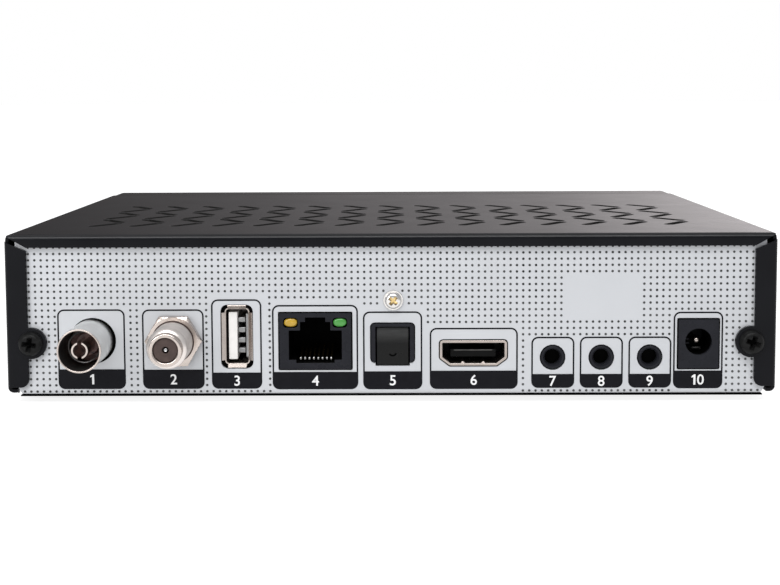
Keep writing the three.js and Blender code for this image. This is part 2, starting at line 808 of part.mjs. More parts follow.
function chassis() {
  const inner = foldRadius - sheet;
  const profile = outline([
    [chassisFront, 0, foldRadius],
    [0, 0, foldRadius],
    [0, panelTop],
    [-sheet, panelTop],
    [-sheet, sheet, inner],
    [chassisFront + sheet, sheet, inner],
    [chassisFront + sheet, frontLipHeight],
    [chassisFront, frontLipHeight],
  ]);
  const sideLips = [-1, 1].map((side) => {
    const edges = [side * (chassisHalf - sheet), side * chassisHalf].sort((a, b) => a - b);
    const lip = outline(rectangle(chassisFront + sideLipRelief, -sideLipRelief, sheet / 2, sideLipHeight));
    return bar(lip, edges[0], edges[1]);
  });
  const bosses = bossPlaces.map(([x, y]) => solidFrom(boss().translate(x, y, 0)));
  const bossBores = bossPlaces.map(([x, y]) =>
    slab(circle(x, y, bossBoreRadius, smallSides), -overrun, boardBottom + overrun),
  );
  const hookSlots = hookXs.map((x) =>
    plate(
      outline(
        rectangle(
          x - hookWidth / 2 - hookGap,
          x + hookWidth / 2 + hookGap,
          hookBottom - hookGap,
          hookBottom + hookThickness + hookGap,
        ),
      ),
      chassisFront - overrun,
      chassisFront + sheet + overrun / 2,
    ),
  );
  return cutBy(
    joined(bar(profile, -chassisHalf, chassisHalf), ...sideLips, ...bosses),
    ...panelCutouts(),
    cornerCut(-1),
    cornerCut(1),
    ...bossBores,
    ...hookSlots,
    slab(baseVentShapes(), -overrun, sheet + overrun / 2),
  );
}
piece("chassis", chassis(), printedSteel);

// Feet
const footProfile = [
  [0, 0],
  [footRadius - footChamfer, 0],
  [footRadius, footChamfer],
  [footRadius, footHeight - seatGap],
  [0, footHeight - seatGap],
];
const footNames = ["foot_front_left", "foot_front_right", "foot_rear_left", "foot_rear_right"];
footNames.forEach((name, i) => {
  const x = (i % 2 === 0 ? -1 : 1) * (chassisHalf - footInset);
  const y = panelY + (i < 2 ? chassisFront + footInset : -footInset);
  piece(name, turnedAlongZ(footProfile, jackSides), blackRubber, x, y, 0, receiver);
});

// Screws
// A pan head with a cross recess on a plain shank, its seat at the origin and its head towards +Y.
function screw({ headRadius, headHeight, shankRadius, length, collarRadius = 0, collar = 0 }) {
  const crown = headRadius * crownShare;
  const shoulder = collar + (headHeight - collar) / 2;
  const head = [
    [0, -length],
    [shankRadius, -length],
    [shankRadius, 0],
    ...(collar > 0 ? [[collarRadius, 0], [collarRadius, collar], [headRadius, collar]] : [[headRadius, 0]]),
    [headRadius, shoulder],
    [crown, headHeight],
    [0, headHeight],
  ];
  const arm = headRadius * crossArmShare;
  const half = (headRadius * crossWidthShare) / 2;
  const depth = headHeight * crossDepthShare;
  const recess = [
    plate(outline(rectangle(-arm, arm, -half, half)), headHeight - depth, headHeight + overrun),
    plate(outline(rectangle(-half, half, -arm, arm)), headHeight - depth, headHeight + overrun),
  ];
  return cutBy(turnedAlongY(head, screwSides), ...recess);
}

const coverScrew = {
  headRadius: coverScrewHeadRadius,
  headHeight: coverScrewHeadHeight,
  shankRadius: coverScrewShankRadius,
  length: coverScrewLength,
};
piece("cover_screw_left", screw(coverScrew), blackScrewSteel, -coverScrewX, coverRear + seatGap, coverScrewHeight);
piece("cover_screw_right", screw(coverScrew), blackScrewSteel, coverScrewX, coverRear + seatGap, coverScrewHeight);

const panelScrew = {
  headRadius: panelScrewHeadRadius,
  headHeight: panelScrewHeadHeight,
  shankRadius: panelScrewShankRadius,
  length: panelScrewLength,
  collarRadius: panelScrewCollarRadius,
  collar: panelScrewCollar,
};
piece("panel_screw", screw(panelScrew), brightSteel, panelScrewX, seatGap, panelScrewHeight);

const boardScrew = {
  headRadius: boardScrewHeadRadius,
  headHeight: boardScrewHeadHeight,
  shankRadius: boardScrewShankRadius,
  length: boardScrewLength,
};
[-1, 1].forEach((side) => {
  const mesh = new THREE.Mesh(geometryFrom(screw(boardScrew)), brightSteel);
  mesh.name = side < 0 ? "board_screw_left" : "board_screw_right";
  mesh.position.set(side * boardScrewX, boardScrewY, seatTop);
  mesh.rotation.x = Math.PI / 2;
  assembly.add(mesh);
});

// Main board
function mainBoard() {
  const board = slab(outline(rectangle(-boardSide, boardSide, boardFront, boardRear)), boardBottom, boardTop);
  const holes = [-1, 1].map((side) =>
    slab(
      circle(side * boardScrewX, boardScrewY, boardScrewShankRadius + screwClearance, smallSides),
      boardBottom - overrun,
      boardTop + overrun,
    ),
  );
  return cutBy(board, ...holes);
}
piece("main_board", mainBoard(), boardGreen);

// Tuner cans
function tunerCan(width) {
  const rear = -sheet - tunerGap;
  const front = rear - tunerLength;
  const half = width / 2;
  const walls = slab(outline(rectangle(-half, half, front, rear)), seatTop, tunerTop - tunerLidThickness);
  const lidEdge = drawnIn(rectangle(-half, half, front, rear), -tunerLidThickness);
  const lid = slab(outline(lidEdge), tunerTop - tunerLid, tunerTop);
  return joined(walls, lid);
}
piece("aerial_tuner_can", tunerCan(tunerWidth), tinnedSteel, aerialX);
piece("dish_tuner_can", tunerCan(tunerWidth), tinnedSteel, dishX);

// Aerial socket
const canFace = -sheet - tunerGap + tunerLidThickness + seatGap;
const contactBack = canFace + aerialFlange;

function aerialShell() {
  const edge = aerialRadius - aerialBoreRadius;
  return turnedAlongY(
    [
      [aerialBoreRadius, canFace],
      [aerialFlangeRadius, canFace],
      [aerialFlangeRadius, canFace + aerialFlange],
      [aerialRadius, canFace + aerialFlange],
      [aerialRadius, aerialReach - edge / 2],
      [aerialRadius - edge / 2, aerialReach],
      [aerialBoreRadius, aerialReach - edge / 2],
      [aerialBoreRadius, canFace],
    ],
    socketSides,
  );
}

function aerialInsulator() {
  const outer = aerialBoreRadius - seatGap;
  const bore = aerialContactRadius + seatGap;
  const step = canFace + aerialInsulatorLength;
  return turnedAlongY(
    [
      [bore, canFace],
      [outer, canFace],
      [outer, step],
      [aerialBossRadius, step],
      [aerialBossRadius, step + aerialBossLength],
      [bore, step + aerialBossLength],
      [bore, canFace],
    ],
    screwSides,
  );
}

function aerialContact() {
  const tip = aerialReach - aerialContactRecess;
  const wall = joined(
    rod(aerialContactRadius, canFace, contactBack, screwSides),
    tube(aerialContactRadius, aerialContactBore, canFace, tip, screwSides),
  );
  const half = aerialSlitWidth / 2;
  const slit = plate(
    outline(rectangle(-half, half, -aerialContactRadius - overrun, aerialContactRadius + overrun)),
    tip - aerialSlitLength,
    tip + overrun,
  );
  return cutBy(wall, slit);
}
piece("aerial_socket_shell", aerialShell(), satinNickel, aerialX, 0, aerialHeight);
piece("aerial_socket_insulator", aerialInsulator(), brownPlastic, aerialX, 0, aerialHeight);
piece("aerial_socket_contact", aerialContact(), satinNickel, aerialX, 0, aerialHeight);

// Dish socket
function dishBody() {
  const noseStart = dishReach - dishNoseLength;
  const rim = (dishNoseRadius - dishBoreRadius) / 2;
  return turnedAlongY(
    [
      [dishBoreRadius, canFace],
      [dishFlangeRadius, canFace],
      [dishFlangeRadius, -seatGap],
      [dishThreadRadius, -seatGap],
      [dishThreadRadius, noseStart - dishShoulder],
      [dishNoseRadius + rim, noseStart],
      [dishNoseRadius, dishReach - rim],
      [dishNoseRadius - rim, dishReach],
      [dishBoreRadius, dishReach - rim],
      [dishBoreRadius, canFace],
    ],
    socketSides,
  );
}

function dishInsulator() {
  const face = dishReach - dishInsulatorRecess;
  return turnedAlongY(
    [
      [0, face - dishInsulatorLength],
      [dishBoreRadius - seatGap, face - dishInsulatorLength],
      [dishBoreRadius - seatGap, face],
      [dishPinHoleRadius, face],
      [dishPinHoleRadius, face - dishPinHoleDepth],
      [0, face - dishPinHoleDepth],
    ],
    jackSides,
  );
}

function dishNut() {
  const corner = dishNutAcross / 2 / Math.cos(Math.PI / dishNutSides);
  const hexagon = Array.from({ length: dishNutSides }, (_, i) => {
    const angle = (2 * Math.PI * i) / dishNutSides;
    return new THREE.Vector2(corner * Math.cos(angle), corner * Math.sin(angle));
  });
  const face = seatGap + dishNutThickness;
  const block = plate(new THREE.Shape(hexagon), seatGap, face);
  const chamferedRound = turnedAlongY(
    [
      [0, seatGap],
      [corner, seatGap],
      [corner, face - dishNutChamfer],
      [dishNutAcross / 2 - dishNutChamfer / 2, face],
      [0, face],
    ],
    socketSides,
  );
  const bore = plate(circle(0, 0, dishThreadRadius + seatGap, socketSides), -overrun, face + overrun);
  return cutBy(block.intersect(chamferedRound), bore);
}
piece("dish_socket_body", dishBody(), warmNickel, dishX, 0, dishHeight);
piece("dish_socket_insulator", dishInsulator(), brownPlastic, dishX, 0, dishHeight);
piece("dish_socket_nut", dishNut(), warmNickel, dishX, 0, dishHeight);

// USB socket
function usbShell() {
  const lip = rectangle(-usbLipWidth / 2, usbLipWidth / 2, -usbLipHeight / 2, usbLipHeight / 2);
  const lipHalf = usbLipWidth / 2;
  const lipTop = usbLipHeight / 2;
  const chamfered = lip.flatMap(([across, up]) => {
    const side = Math.sign(across);
    const end = Math.sign(up);
    const onSide = [side * lipHalf, end * (lipTop - usbLipChamfer)];
    const onEnd = [side * (lipHalf - usbLipChamfer), end * lipTop];
    return side * end > 0 ? [onSide, onEnd] : [onEnd, onSide];
  });
  const bore = rectangle(-usbBoreWidth / 2, usbBoreWidth / 2, -usbBoreHeight / 2, usbBoreHeight / 2);
  return cutBy(
    joined(
      plate(outline(chamfered), -usbLipThickness, 0),
      plate(outline(drawnIn(bore, -usbWall)), -usbLength, -usbLipThickness / 2),
    ),
    plate(outline(bore), -usbLength - overrun, overrun),
  );
}

function usbTongue() {
  const half = usbTongueThickness / 2;
  const tongue = rectangle(
    usbTongueOffset - half,
    usbTongueOffset + half,
    -usbTongueHeight / 2,
    usbTongueHeight / 2,
  );
  const back = rectangle(
    -usbBoreWidth / 2 + seatGap,
    usbBoreWidth / 2 - seatGap,
    -usbBoreHeight / 2 + seatGap,
    usbBoreHeight / 2 - seatGap,
  );
  const backFace = -usbLength + usbBackThickness;
  return joined(
    plate(outline(tongue), backFace - usbBackThickness / 2, -usbTongueRecess),
    plate(outline(back), -usbLength, backFace),
  );
}
piece("usb_socket_shell", usbShell(), warmNickel, usbX, 0, usbHeight);
piece("usb_socket_tongue", usbTongue(), whitePlastic, usbX, 0, usbHeight);

// Network socket
const networkLampHalf = networkLampWidth / 2;
const networkLampRadius = networkLampRise * networkLampRoundShare;

function networkLampShape(x, gap) {
  return outline(
    drawnIn(
      rectangle(
        x - networkLampHalf,
        x + networkLampHalf,
        networkLampHeight - networkLampRise / 2,
        networkLampHeight + networkLampRise / 2,
        networkLampRadius,
      ),
      -gap,
    ),
  );
}

function networkHousing() {
  const cavity = networkCavityWidth / 2;
  const latch = networkLatchWidth / 2;
  const key = networkKeyWidth / 2;
  const groove = networkGrooveWidth / 2;
  const rightSide = [
    [groove, networkGrooveFloor],
    [groove, networkCavityFloor],
    [cavity, networkCavityFloor],
    [cavity, networkCavityTop],
    [latch, networkCavityTop],
    [latch, networkLatchTop],
    [key, networkLatchTop],
    [key, networkKeyTop],
  ];
  const leftSide = rightSide.map(([across, up]) => [-across, up]).reverse();
  const mouth = plate(
    outline([...rightSide, ...leftSide]),
    networkProud - networkCavityDepth,
    networkProud + overrun,
  );
  const lampPockets = [-networkLampX, networkLampX].map((x) =>
    plate(
      networkLampShape(x, seatGap),
      networkProud - networkLampDepth - seatGap,
      networkProud + overrun,
    ),
  );
  const block = plate(outline(networkCorners), networkProud - networkLength, networkProud);
  return cutBy(block, mouth, ...lampPockets);
}

// Eight bent spring wires on one carrier: each runs forward on the floor, turns, and slopes up and back.
function networkContacts() {
  const back = networkProud - networkCavityDepth + seatGap;
  const floor = networkGrooveFloor + seatGap;
  const front = -contactFrontRecess;
  const wire = outline([
    [back + contactCarrierLength / 2, floor],
    [front, floor],
    [front + contactThickness, floor + contactThickness],
    [front - contactArmLength, contactRise],
    [front - contactArmLength - contactThickness, contactRise - contactThickness],
    [front - contactThickness, floor + contactThickness],
    [back + contactCarrierLength / 2, floor + contactThickness],
  ]);
  const wires = Array.from({ length: contactCount }, (_, i) => {
    const x = (i - (contactCount - 1) / 2) * contactPitch;
    return bar(wire, x - contactWidth / 2, x + contactWidth / 2);
  });
  const carrierHalf = networkGrooveWidth / 2 - seatGap;
  const carrier = plate(
    outline(rectangle(-carrierHalf, carrierHalf, floor, contactCarrierTop)),
    back,
    back + contactCarrierLength,
  );
  return joined(carrier, ...wires);
}

const lampLens = (x) => plate(networkLampShape(x, 0), networkProud - networkLampDepth, networkProud);
piece("network_socket_housing", networkHousing(), blackPlastic, networkX);
piece("network_socket_contacts", networkContacts(), goldPlate, networkX);
piece("network_lamp_amber", lampLens(networkLampX), amberLens, networkX);
piece("network_lamp_green", lampLens(-networkLampX), greenLens, networkX);

// Optical socket
const shutterPivotY = opticalProud - shutterRecess - shutterThickness / 2;

function opticalHousing() {
  const frame = plate(outline(opticalFrameCorners()), -opticalBodySetback - overrun, opticalProud);
  const bodyHalf = opticalBodyWidth / 2;
  const body = plate(
    outline(rectangle(-bodyHalf, bodyHalf, seatTop, opticalBodyTop)),
    opticalProud - opticalLength,
    -opticalBodySetback,
  );
  const cavityHalf = opticalCavityWidth / 2;
  const cavity = plate(
    outline(rectangle(-cavityHalf, cavityHalf, opticalCavityFloor, opticalCavityTop)),
    opticalProud - opticalCavityDepth,
    opticalProud + overrun,
  );
  const pinReach = shutterHalf + shutterPinLength + shutterPinGap;
  const pinBores = bar(
    circle(shutterPivotY, shutterPivotHeight, shutterPinRadius + shutterPinGap, smallSides),
    -pinReach,
    pinReach,
  );
  return cutBy(joined(frame, body), cavity, pinBores);
}

function opticalShutter() {
  const half = shutterThickness / 2;
  const flap = outline([
    [-half, shutterBottom - shutterPivotHeight],
    [half, shutterBottom - shutterPivotHeight],
    [half, half, half * (1 - crownShare)],
    [-half, half, half * (1 - crownShare)],
  ]);
  const pinReach = shutterHalf + shutterPinLength;
  return joined(
    bar(flap, -shutterHalf, shutterHalf),
    bar(circle(0, 0, shutterPinRadius, smallSides), -pinReach, pinReach),
  );
}
piece("optical_socket_housing", opticalHousing(), blackPlastic, opticalX);
piece("optical_socket_shutter", opticalShutter(), blackPlastic, opticalX, shutterPivotY, shutterPivotHeight);

// Multimedia socket
function mediaShell() {
  return cutBy(
    plate(outline(mediaCorners()), mediaProud - mediaLength, mediaProud),
    plate(outline(drawnIn(mediaCorners(), mediaWall)), mediaProud - mediaLength - overrun, mediaProud + overrun),
  );
}

function mediaTongue() {
  const half = mediaTongueWidth / 2;
  const back = mediaProud - mediaLength;
  const backFace = back + mediaBackThickness;
  return joined(
    plate(
      outline(rectangle(-half, half, mediaTongueBottom, mediaTongueTop)),
      backFace - mediaBackThickness / 2,
      -mediaTongueRecess,
    ),
    plate(outline(drawnIn(mediaCorners(), mediaWall + seatGap)), back, backFace),
  );
}
piece("media_socket_shell", mediaShell(), warmNickel, mediaX);
piece("media_socket_tongue", mediaTongue(), blackPlastic, mediaX);

// Round jacks
function jack() {
  const bodyHalf = jackBodyWidth / 2;
  const body = plate(
    outline(rectangle(-bodyHalf, bodyHalf, seatTop - jackHeight, jackBodyTop - jackHeight)),
    jackProud - jackLength,
    -jackCollarSetback,
  );
  const collar = rod(jackRadius, -jackCollarSetback - seatGap, jackProud, jackSides);
  const bore = rod(jackBoreRadius, jackProud - jackBoreDepth, jackProud + overrun, jackSides);
  return cutBy(joined(body, collar), bore);
}
jackXs.forEach((x, i) => piece(jackNames[i], jack(), blackPlastic, x, 0, jackHeight));

// Power jack
function powerJack() {
  const block = plate(outline(powerCorners), powerProud - powerLength, powerProud);
  const bore = plate(
    circle(0, powerBoreHeight, powerBoreRadius, jackSides),
    powerProud - powerBoreDepth,
    powerProud + overrun,
  );
  return cutBy(block, bore);
}

function powerPin() {
  const root = powerProud - powerBoreDepth + seatGap;
  return turnedAlongY(
    [
      [0, root],
      [powerPinRadius, root],
      [powerPinRadius, -powerPinRecess - powerPinTaper],
      [powerPinRadius - powerPinTaper, -powerPinRecess],
      [0, -powerPinRecess],
    ],
    smallSides,
  );
}
piece("power_jack_housing", powerJack(), blackPlastic, powerX);
piece("power_jack_pin", powerPin(), brightSteel, powerX, 0, powerBoreHeight);

// Ground bracket: up the panel's inner face, over the optical socket and down to the board
function groundBracket() {
  const tabRear = -sheet - bracketRearGap;
  const legRear = opticalProud - opticalLength - bracketLegGap;
  const profile = outline([
    [tabRear, bracketStrapHeight],
    [tabRear, bracketTop],
    [tabRear - sheet, bracketTop],
    [tabRear - sheet, bracketStrapHeight + sheet],
    [legRear - sheet, bracketStrapHeight + sheet],
    [legRear - sheet, seatTop + sheet],
    [legRear - sheet - bracketFoot, seatTop + sheet],
    [legRear - sheet - bracketFoot, seatTop],
    [legRear, seatTop],
    [legRear, bracketStrapHeight],
  ]);
  const strap = bar(profile, -bracketWidth / 2, bracketWidth / 2);
  const hole = plate(
    circle(0, panelScrewHeight, panelScrewShankRadius + screwClearance, smallSides),
    tabRear - sheet - overrun,
    tabRear + overrun,
  );
  return cutBy(strap, hole);
}
piece("ground_bracket", groundBracket(), tinnedSteel, panelScrewX);

// Front panel
function frontBlock(inset, rear) {
  const radius = frontRadius - inset;
  const side = halfWidth - inset;
  const bottom = inset;
  const top = caseHeight - inset;
  const front = frontFace + inset;
  const round = Math.max(radius, 0);
  const across = plate(outline(rectangle(-side, side, bottom, top, round)), front, rear);
  const along = bar(
    outline([[front, bottom, round], [rear, bottom], [rear, top], [front, top, round]]),
    -side,
    side,
  );
  const plan = slab(
    outline([[-side, front, round], [side, front, round], [side, rear], [-side, rear]]),
    bottom,
    top,
  );
  return across.intersect(along).intersect(plan);
}

// The rim that reaches under the cover, left open towards the base.
function frontRim() {
  const side = halfWidth - sheet - rimGap;
  const top = caseHeight - sheet - rimGap;
  return cutBy(
    plate(outline(rectangle(-side, side, rimFoot, top, frontRadius)), mouldingRear - sheet, mouldingRear + rimReach),
    plate(
      outline(rectangle(-side + rimThickness, side - rimThickness, -overrun, top - rimThickness)),
      mouldingRear - sheet - overrun,
      mouldingRear + rimReach + overrun,
    ),
  );
}

function hook(x) {
  const root = mouldingRear - frontDepth * hookRootShare;
  const tip = mouldingRear + hookReach;
  const top = hookBottom + hookThickness;
  const catchRear = chassisFront + sheet + seatGap;
  return bar(
    outline([
      [root, frontSideWall / 2],
      [mouldingRear - seatGap, frontSideWall / 2],
      [mouldingRear - seatGap, hookBottom],
      [tip, hookBottom],
      [tip, top],
      [catchRear + seatGap, top + hookBarb],
      [catchRear, top + hookBarb],
      [catchRear, top],
      [root, top],
    ]),
    x - hookWidth / 2,
    x + hookWidth / 2,
  );
}

function buttonOutline(name, grow) {
  const half = buttonWidth / 2;
  const rise = buttons[name].height / 2;
  const radius = Math.min(half, rise) * buttonRoundShare;
  return outline(drawnIn(rectangle(-half, half, -rise, rise, radius), -grow));
}

function buttonHole(name) {
  const half = buttonWidth / 2 + buttonGap;
  const rise = buttons[name].height / 2 + buttonGap;
  const radius = Math.min(half, rise) * buttonRoundShare;
  const { x } = buttons[name];
  const corners = rectangle(x - half, x + half, windowMiddle - rise, windowMiddle + rise, radius);
  return plate(outline(corners), frontFace - overrun, frontFace + frontWall + overrun / 2);
}

function frontPanel() {
  const windowHalf = windowWidth / 2;
  const windowRise = windowHeight / 2;
  const windowCorners = rectangle(
    windowX - windowHalf,
    windowX + windowHalf,
    windowMiddle - windowRise,
    windowMiddle + windowRise,
    windowRadius,
  );
  const pocket = plate(
    outline(drawnIn(windowCorners, -windowGap)),
    frontFace - overrun,
    frontFace + windowThickness + seatGap,
  );
  const sight = plate(outline(drawnIn(windowCorners, windowLedge)), frontFace - overrun, frontFace + frontWall + overrun);
  const hollowSide = halfWidth - frontSideWall;
  const hollow = plate(
    outline(rectangle(-hollowSide, hollowSide, frontSideWall, caseHeight - frontSideWall, frontSideWall / 2)),
    frontFace + frontWall,
    mouldingRear + overrun,
  );
  const posts = postXs.map((x) =>
    plate(
      circle(x, windowMiddle, postRadius, smallSides),
      frontFace + frontWall / 2,
      frontFace + frontBoardFace - seatGap,
    ),
  );
  const shell = cutBy(frontBlock(0, mouldingRear), hollow);
  return cutBy(
    joined(shell, frontRim(), ...hookXs.map(hook), ...posts),
    pocket,
    sight,
    ...Object.keys(buttons).map(buttonHole),
  );
}
piece("front_panel", frontPanel(), glossBlackPlastic);

function displayWindow() {
  const half = windowWidth / 2;
  const rise = windowHeight / 2;
  return plate(outline(rectangle(-half, half, -rise, rise, windowRadius)), 0, windowThickness);
}
piece("display_window", displayWindow(), smokedPlastic, windowX, frontFace, windowMiddle);

// Front board
const frontBoardY = frontFace + frontBoardFace;
const boardHalf = halfWidth - frontBoardSideGap;
const boardLow = frontBoardEdgeGap - windowMiddle;
const boardHigh = caseHeight - frontBoardEdgeGap - windowMiddle;
piece(
  "front_board",
  plate(outline(rectangle(-boardHalf, boardHalf, boardLow, boardHigh)), 0, boardThickness),
  boardGreen,
  0,
  frontBoardY,
  windowMiddle,
);

// Push buttons with the plungers of their switches
const plungerFace = frontBoardFace - seatGap - switchDepth - plungerReach;

function button(name) {
  const flangeFace = frontWall + buttonFlangeGap;
  const cap = plate(buttonOutline(name, 0), -buttonProud + buttonCrown, flangeFace + buttonFlange / 2);
  const crown = plate(buttonOutline(name, -buttonCrown), -buttonProud, buttonCrown);
  const flange = plate(
    buttonOutline(name, buttonGap + buttonFlangeWidth),
    flangeFace,
    flangeFace + buttonFlange,
  );
  const post = rod(buttonPostRadius, flangeFace, plungerFace - seatGap, smallSides);
  return joined(cap, crown, flange, post);
}

function switchBody() {
  const half = switchWidth / 2;
  const rear = frontBoardFace - seatGap;
  const radius = switchWidth * switchRoundShare;
  const body = plate(outline(rectangle(-half, half, -half, half, radius)), rear - switchDepth, rear);
  const bore = plate(
    circle(0, 0, plungerRadius + plungerGap, screwSides),
    plungerFace - overrun,
    plungerFace + plungerLength + buttonTravel + plungerGap,
  );
  return cutBy(body, bore);
}

const plunger = () => rod(plungerRadius, plungerFace, plungerFace + plungerLength, screwSides);

Object.entries(buttons).forEach(([name, { x }]) => {
  piece(`${name}_button`, button(name), glossBlackPlastic, x, frontFace, windowMiddle);
  piece(`${name}_plunger`, plunger(), whitePlastic, x, frontFace, windowMiddle);
  piece(`${name}_switch`, switchBody(), chipBlack, x, frontFace, windowMiddle);
});

// Display, infrared receiver and standby lamp
const infraredX = windowLeft + infraredInset;
const lampX = windowRight - lampInset;
const displayLeft = infraredX + infraredWidth / 2 + displayInfraredGap;
const displayRight = lampX - lampRadius - displayLampGap;

function displayModule() {
  const half = (displayRight - displayLeft) / 2;
  const rise = displayHeight / 2;
  return plate(outline(rectangle(-half, half, -rise, rise)), displayFace, frontBoardFace - seatGap);
}
piece(
  "display_module",
  displayModule(),
  chipBlack,
  (displayLeft + displayRight) / 2,
  frontFace,
  windowMiddle,
);

function infraredReceiver() {
  const half = infraredWidth / 2;
  const rise = infraredHeight / 2;
  const rear = frontBoardFace - seatGap;
  const block = plate(outline(rectangle(-half, half, -rise, rise)), rear - infraredDepth, rear);
  const lens = turnedAlongY(
    [
      [0, rear - infraredDepth - infraredLensRadius],
      [infraredLensRadius / 2, rear - infraredDepth - infraredLensRadius * Math.cos(Math.PI / 6)],
      [infraredLensRadius * Math.cos(Math.PI / 6), rear - infraredDepth - infraredLensRadius / 2],
      [infraredLensRadius, rear - infraredDepth],
      [infraredLensRadius, rear - infraredDepth / 2],
      [0, rear - infraredDepth / 2],
    ],
    screwSides,
  );
  return joined(block, lens);
}
piece("infrared_receiver", infraredReceiver(), chipBlack, infraredX, frontFace, windowMiddle);

function standbyLamp() {
  const rear = frontBoardFace - seatGap;
  const shoulder = rear - lampLength + lampRadius;
  return turnedAlongY(
    [
      [0, rear - lampLength],
      [lampRadius / 2, rear - lampLength + lampRadius * (1 - Math.cos(Math.PI / 6))],
      [lampRadius * Math.cos(Math.PI / 6), shoulder - lampRadius / 2],
      [lampRadius, shoulder],
      [lampRadius, rear],
      [0, rear],
    ],
    screwSides,
  );
}
piece("standby_lamp", standbyLamp(), redLens, lampX, frontFace, windowMiddle);

// Header between the boards: a block on the main board with one row of pins held in a web
function boardHeader() {
  const half = headerWidth / 2;
  const front = boardFront;
  const bladeHalf = headerBladeThickness / 2;
  const block = slab(outline(rectangle(-half, half, front, front + headerDepth)), seatTop, seatTop + headerHeight);
  const blades = bar(
    outline(
      rectangle(
        frontBoardY + boardThickness + seatGap,
        front + headerDepth / 2,
        headerBladeHeight - bladeHalf,
        headerBladeHeight + bladeHalf,
      ),
    ),
    -half + headerBladeThickness,
    half - headerBladeThickness,
  );
  return joined(block, blades);
}
piece("board_header", boardHeader(), chipBlack, halfWidth * headerPlaceShare);

// Chips and heat sink
function chip(width, length, thickness) {
  const half = width / 2;
  const reach = length / 2;
  return slab(outline(rectangle(-half, half, -reach, reach)), 0, thickness);
}

function heatSink() {
  const half = sinkWidth / 2;
  const pitch = sinkWidth / (finCount - 1 + finShare);
  const finWidth = pitch * finShare;
  const base = plate(outline(rectangle(-half, half, 0, sinkBase)), -half, half);
  const fins = Array.from({ length: finCount }, (_, i) => {
    const left = -half + i * pitch;
    return plate(outline(rectangle(left, left + finWidth, sinkBase / 2, sinkHeight)), -half, half);
  });
  return joined(base, ...fins);
}
const chipX = halfWidth * chipPlaceShare;
const chipY = -caseDepth * chipDepthShare;
piece("main_chip", chip(chipWidth, chipWidth, chipThickness), chipBlack, chipX, chipY, seatTop);
piece("heat_sink", heatSink(), blackAluminium, chipX, chipY, seatTop + chipThickness + seatGap);
piece(
  "memory_chip",
  chip(memoryWidth, memoryLength, memoryThickness),
  chipBlack,
  halfWidth * memoryPlaceShare,
  chipY,
  seatTop,
);

// Capacitors, inductor and crystal
function capacitor() {
  const neck = capacitorRadius - capacitorGroove;
  const profile = [
    [0, 0],
    [capacitorRadius, 0],
    [capacitorRadius, capacitorRim - capacitorGroove],
    [neck, capacitorRim],
    [capacitorRadius, capacitorRim + capacitorGroove],
    [capacitorRadius, capacitorHeight - capacitorGroove],
    [neck, capacitorHeight],
    [0, capacitorHeight],
  ];
  return turnedAlongZ(profile, screwSides);
}
capacitorSteps.forEach(([inwards, forwards], i) => {
  const x = capacitorSideInset + inwards * capacitorSpacing - boardSide;
  const y = -capacitorRearInset - forwards * capacitorSpacing;
  piece(`capacitor_${i + 1}`, capacitor(), capacitorSleeve, x, y, seatTop);
});

function inductor() {
  const half = inductorWidth / 2;
  const cut = half - inductorChamfer;
  const corners = [
    [-cut, -half],
    [cut, -half],
    [half, -cut],
    [half, cut],
    [cut, half],
    [-cut, half],
    [-half, cut],
    [-half, -cut],
  ];
  return slab(outline(corners), 0, inductorHeight);
}
piece("power_inductor", inductor(), chipBlack, inductorSideInset - boardSide, -inductorInset, seatTop);

piece(
  "crystal_can",
  slab(slot(0, 0, crystalWidth - crystalDepth, 0, crystalDepth), 0, crystalHeight),
  tinnedSteel,
  halfWidth * crystalPlaceShare,
  chipY - sinkWidth / 2 - crystalGap - crystalDepth / 2,
  seatTop,
);

export default receiver;
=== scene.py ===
# %% [markdown]
# This notebook dresses a satellite receiver, seen from behind, for a studio picture.
# The CAD model gives every place and size. Here each piece gets its fine shape and its finish.
# The frame is loaded first, and everything later reads its places from there.

import json
import math

import bmesh
import bpy
import numpy as np
from mathutils import Matrix, Vector
from mathutils.geometry import tessellate_polygon

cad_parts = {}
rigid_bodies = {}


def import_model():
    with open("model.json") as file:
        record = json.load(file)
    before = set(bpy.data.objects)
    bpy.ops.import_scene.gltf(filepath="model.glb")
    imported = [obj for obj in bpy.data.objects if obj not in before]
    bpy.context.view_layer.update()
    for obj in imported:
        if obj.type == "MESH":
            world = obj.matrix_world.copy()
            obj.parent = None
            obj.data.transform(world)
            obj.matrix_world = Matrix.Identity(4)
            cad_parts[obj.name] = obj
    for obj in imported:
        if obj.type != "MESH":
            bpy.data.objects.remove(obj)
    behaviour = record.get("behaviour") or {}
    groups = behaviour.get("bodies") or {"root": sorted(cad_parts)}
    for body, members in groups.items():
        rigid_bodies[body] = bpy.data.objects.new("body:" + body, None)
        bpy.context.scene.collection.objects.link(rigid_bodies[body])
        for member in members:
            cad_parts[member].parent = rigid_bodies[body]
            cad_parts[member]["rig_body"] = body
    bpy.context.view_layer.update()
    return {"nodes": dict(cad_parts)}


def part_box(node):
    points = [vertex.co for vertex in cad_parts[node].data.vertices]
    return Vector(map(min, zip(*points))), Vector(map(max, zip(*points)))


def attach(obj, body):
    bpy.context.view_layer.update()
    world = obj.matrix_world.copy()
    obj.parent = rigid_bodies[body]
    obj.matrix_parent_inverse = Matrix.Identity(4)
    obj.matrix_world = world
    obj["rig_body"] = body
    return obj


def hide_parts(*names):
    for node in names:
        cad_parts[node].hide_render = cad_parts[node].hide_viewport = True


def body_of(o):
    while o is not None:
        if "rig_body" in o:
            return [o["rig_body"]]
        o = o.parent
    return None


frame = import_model()
print("nodes loaded:", len(frame["nodes"]))

# %% [markdown]
# Blender works in metres, and a receiver is easier to think about in millimetres.
# All shapes below are worked out in millimetres and turned into metres when the mesh is made.
# Two planes matter most: the outer face of the rear panel, and the underside of the base.

# %% Millimetres and the two main planes
MM = 0.001


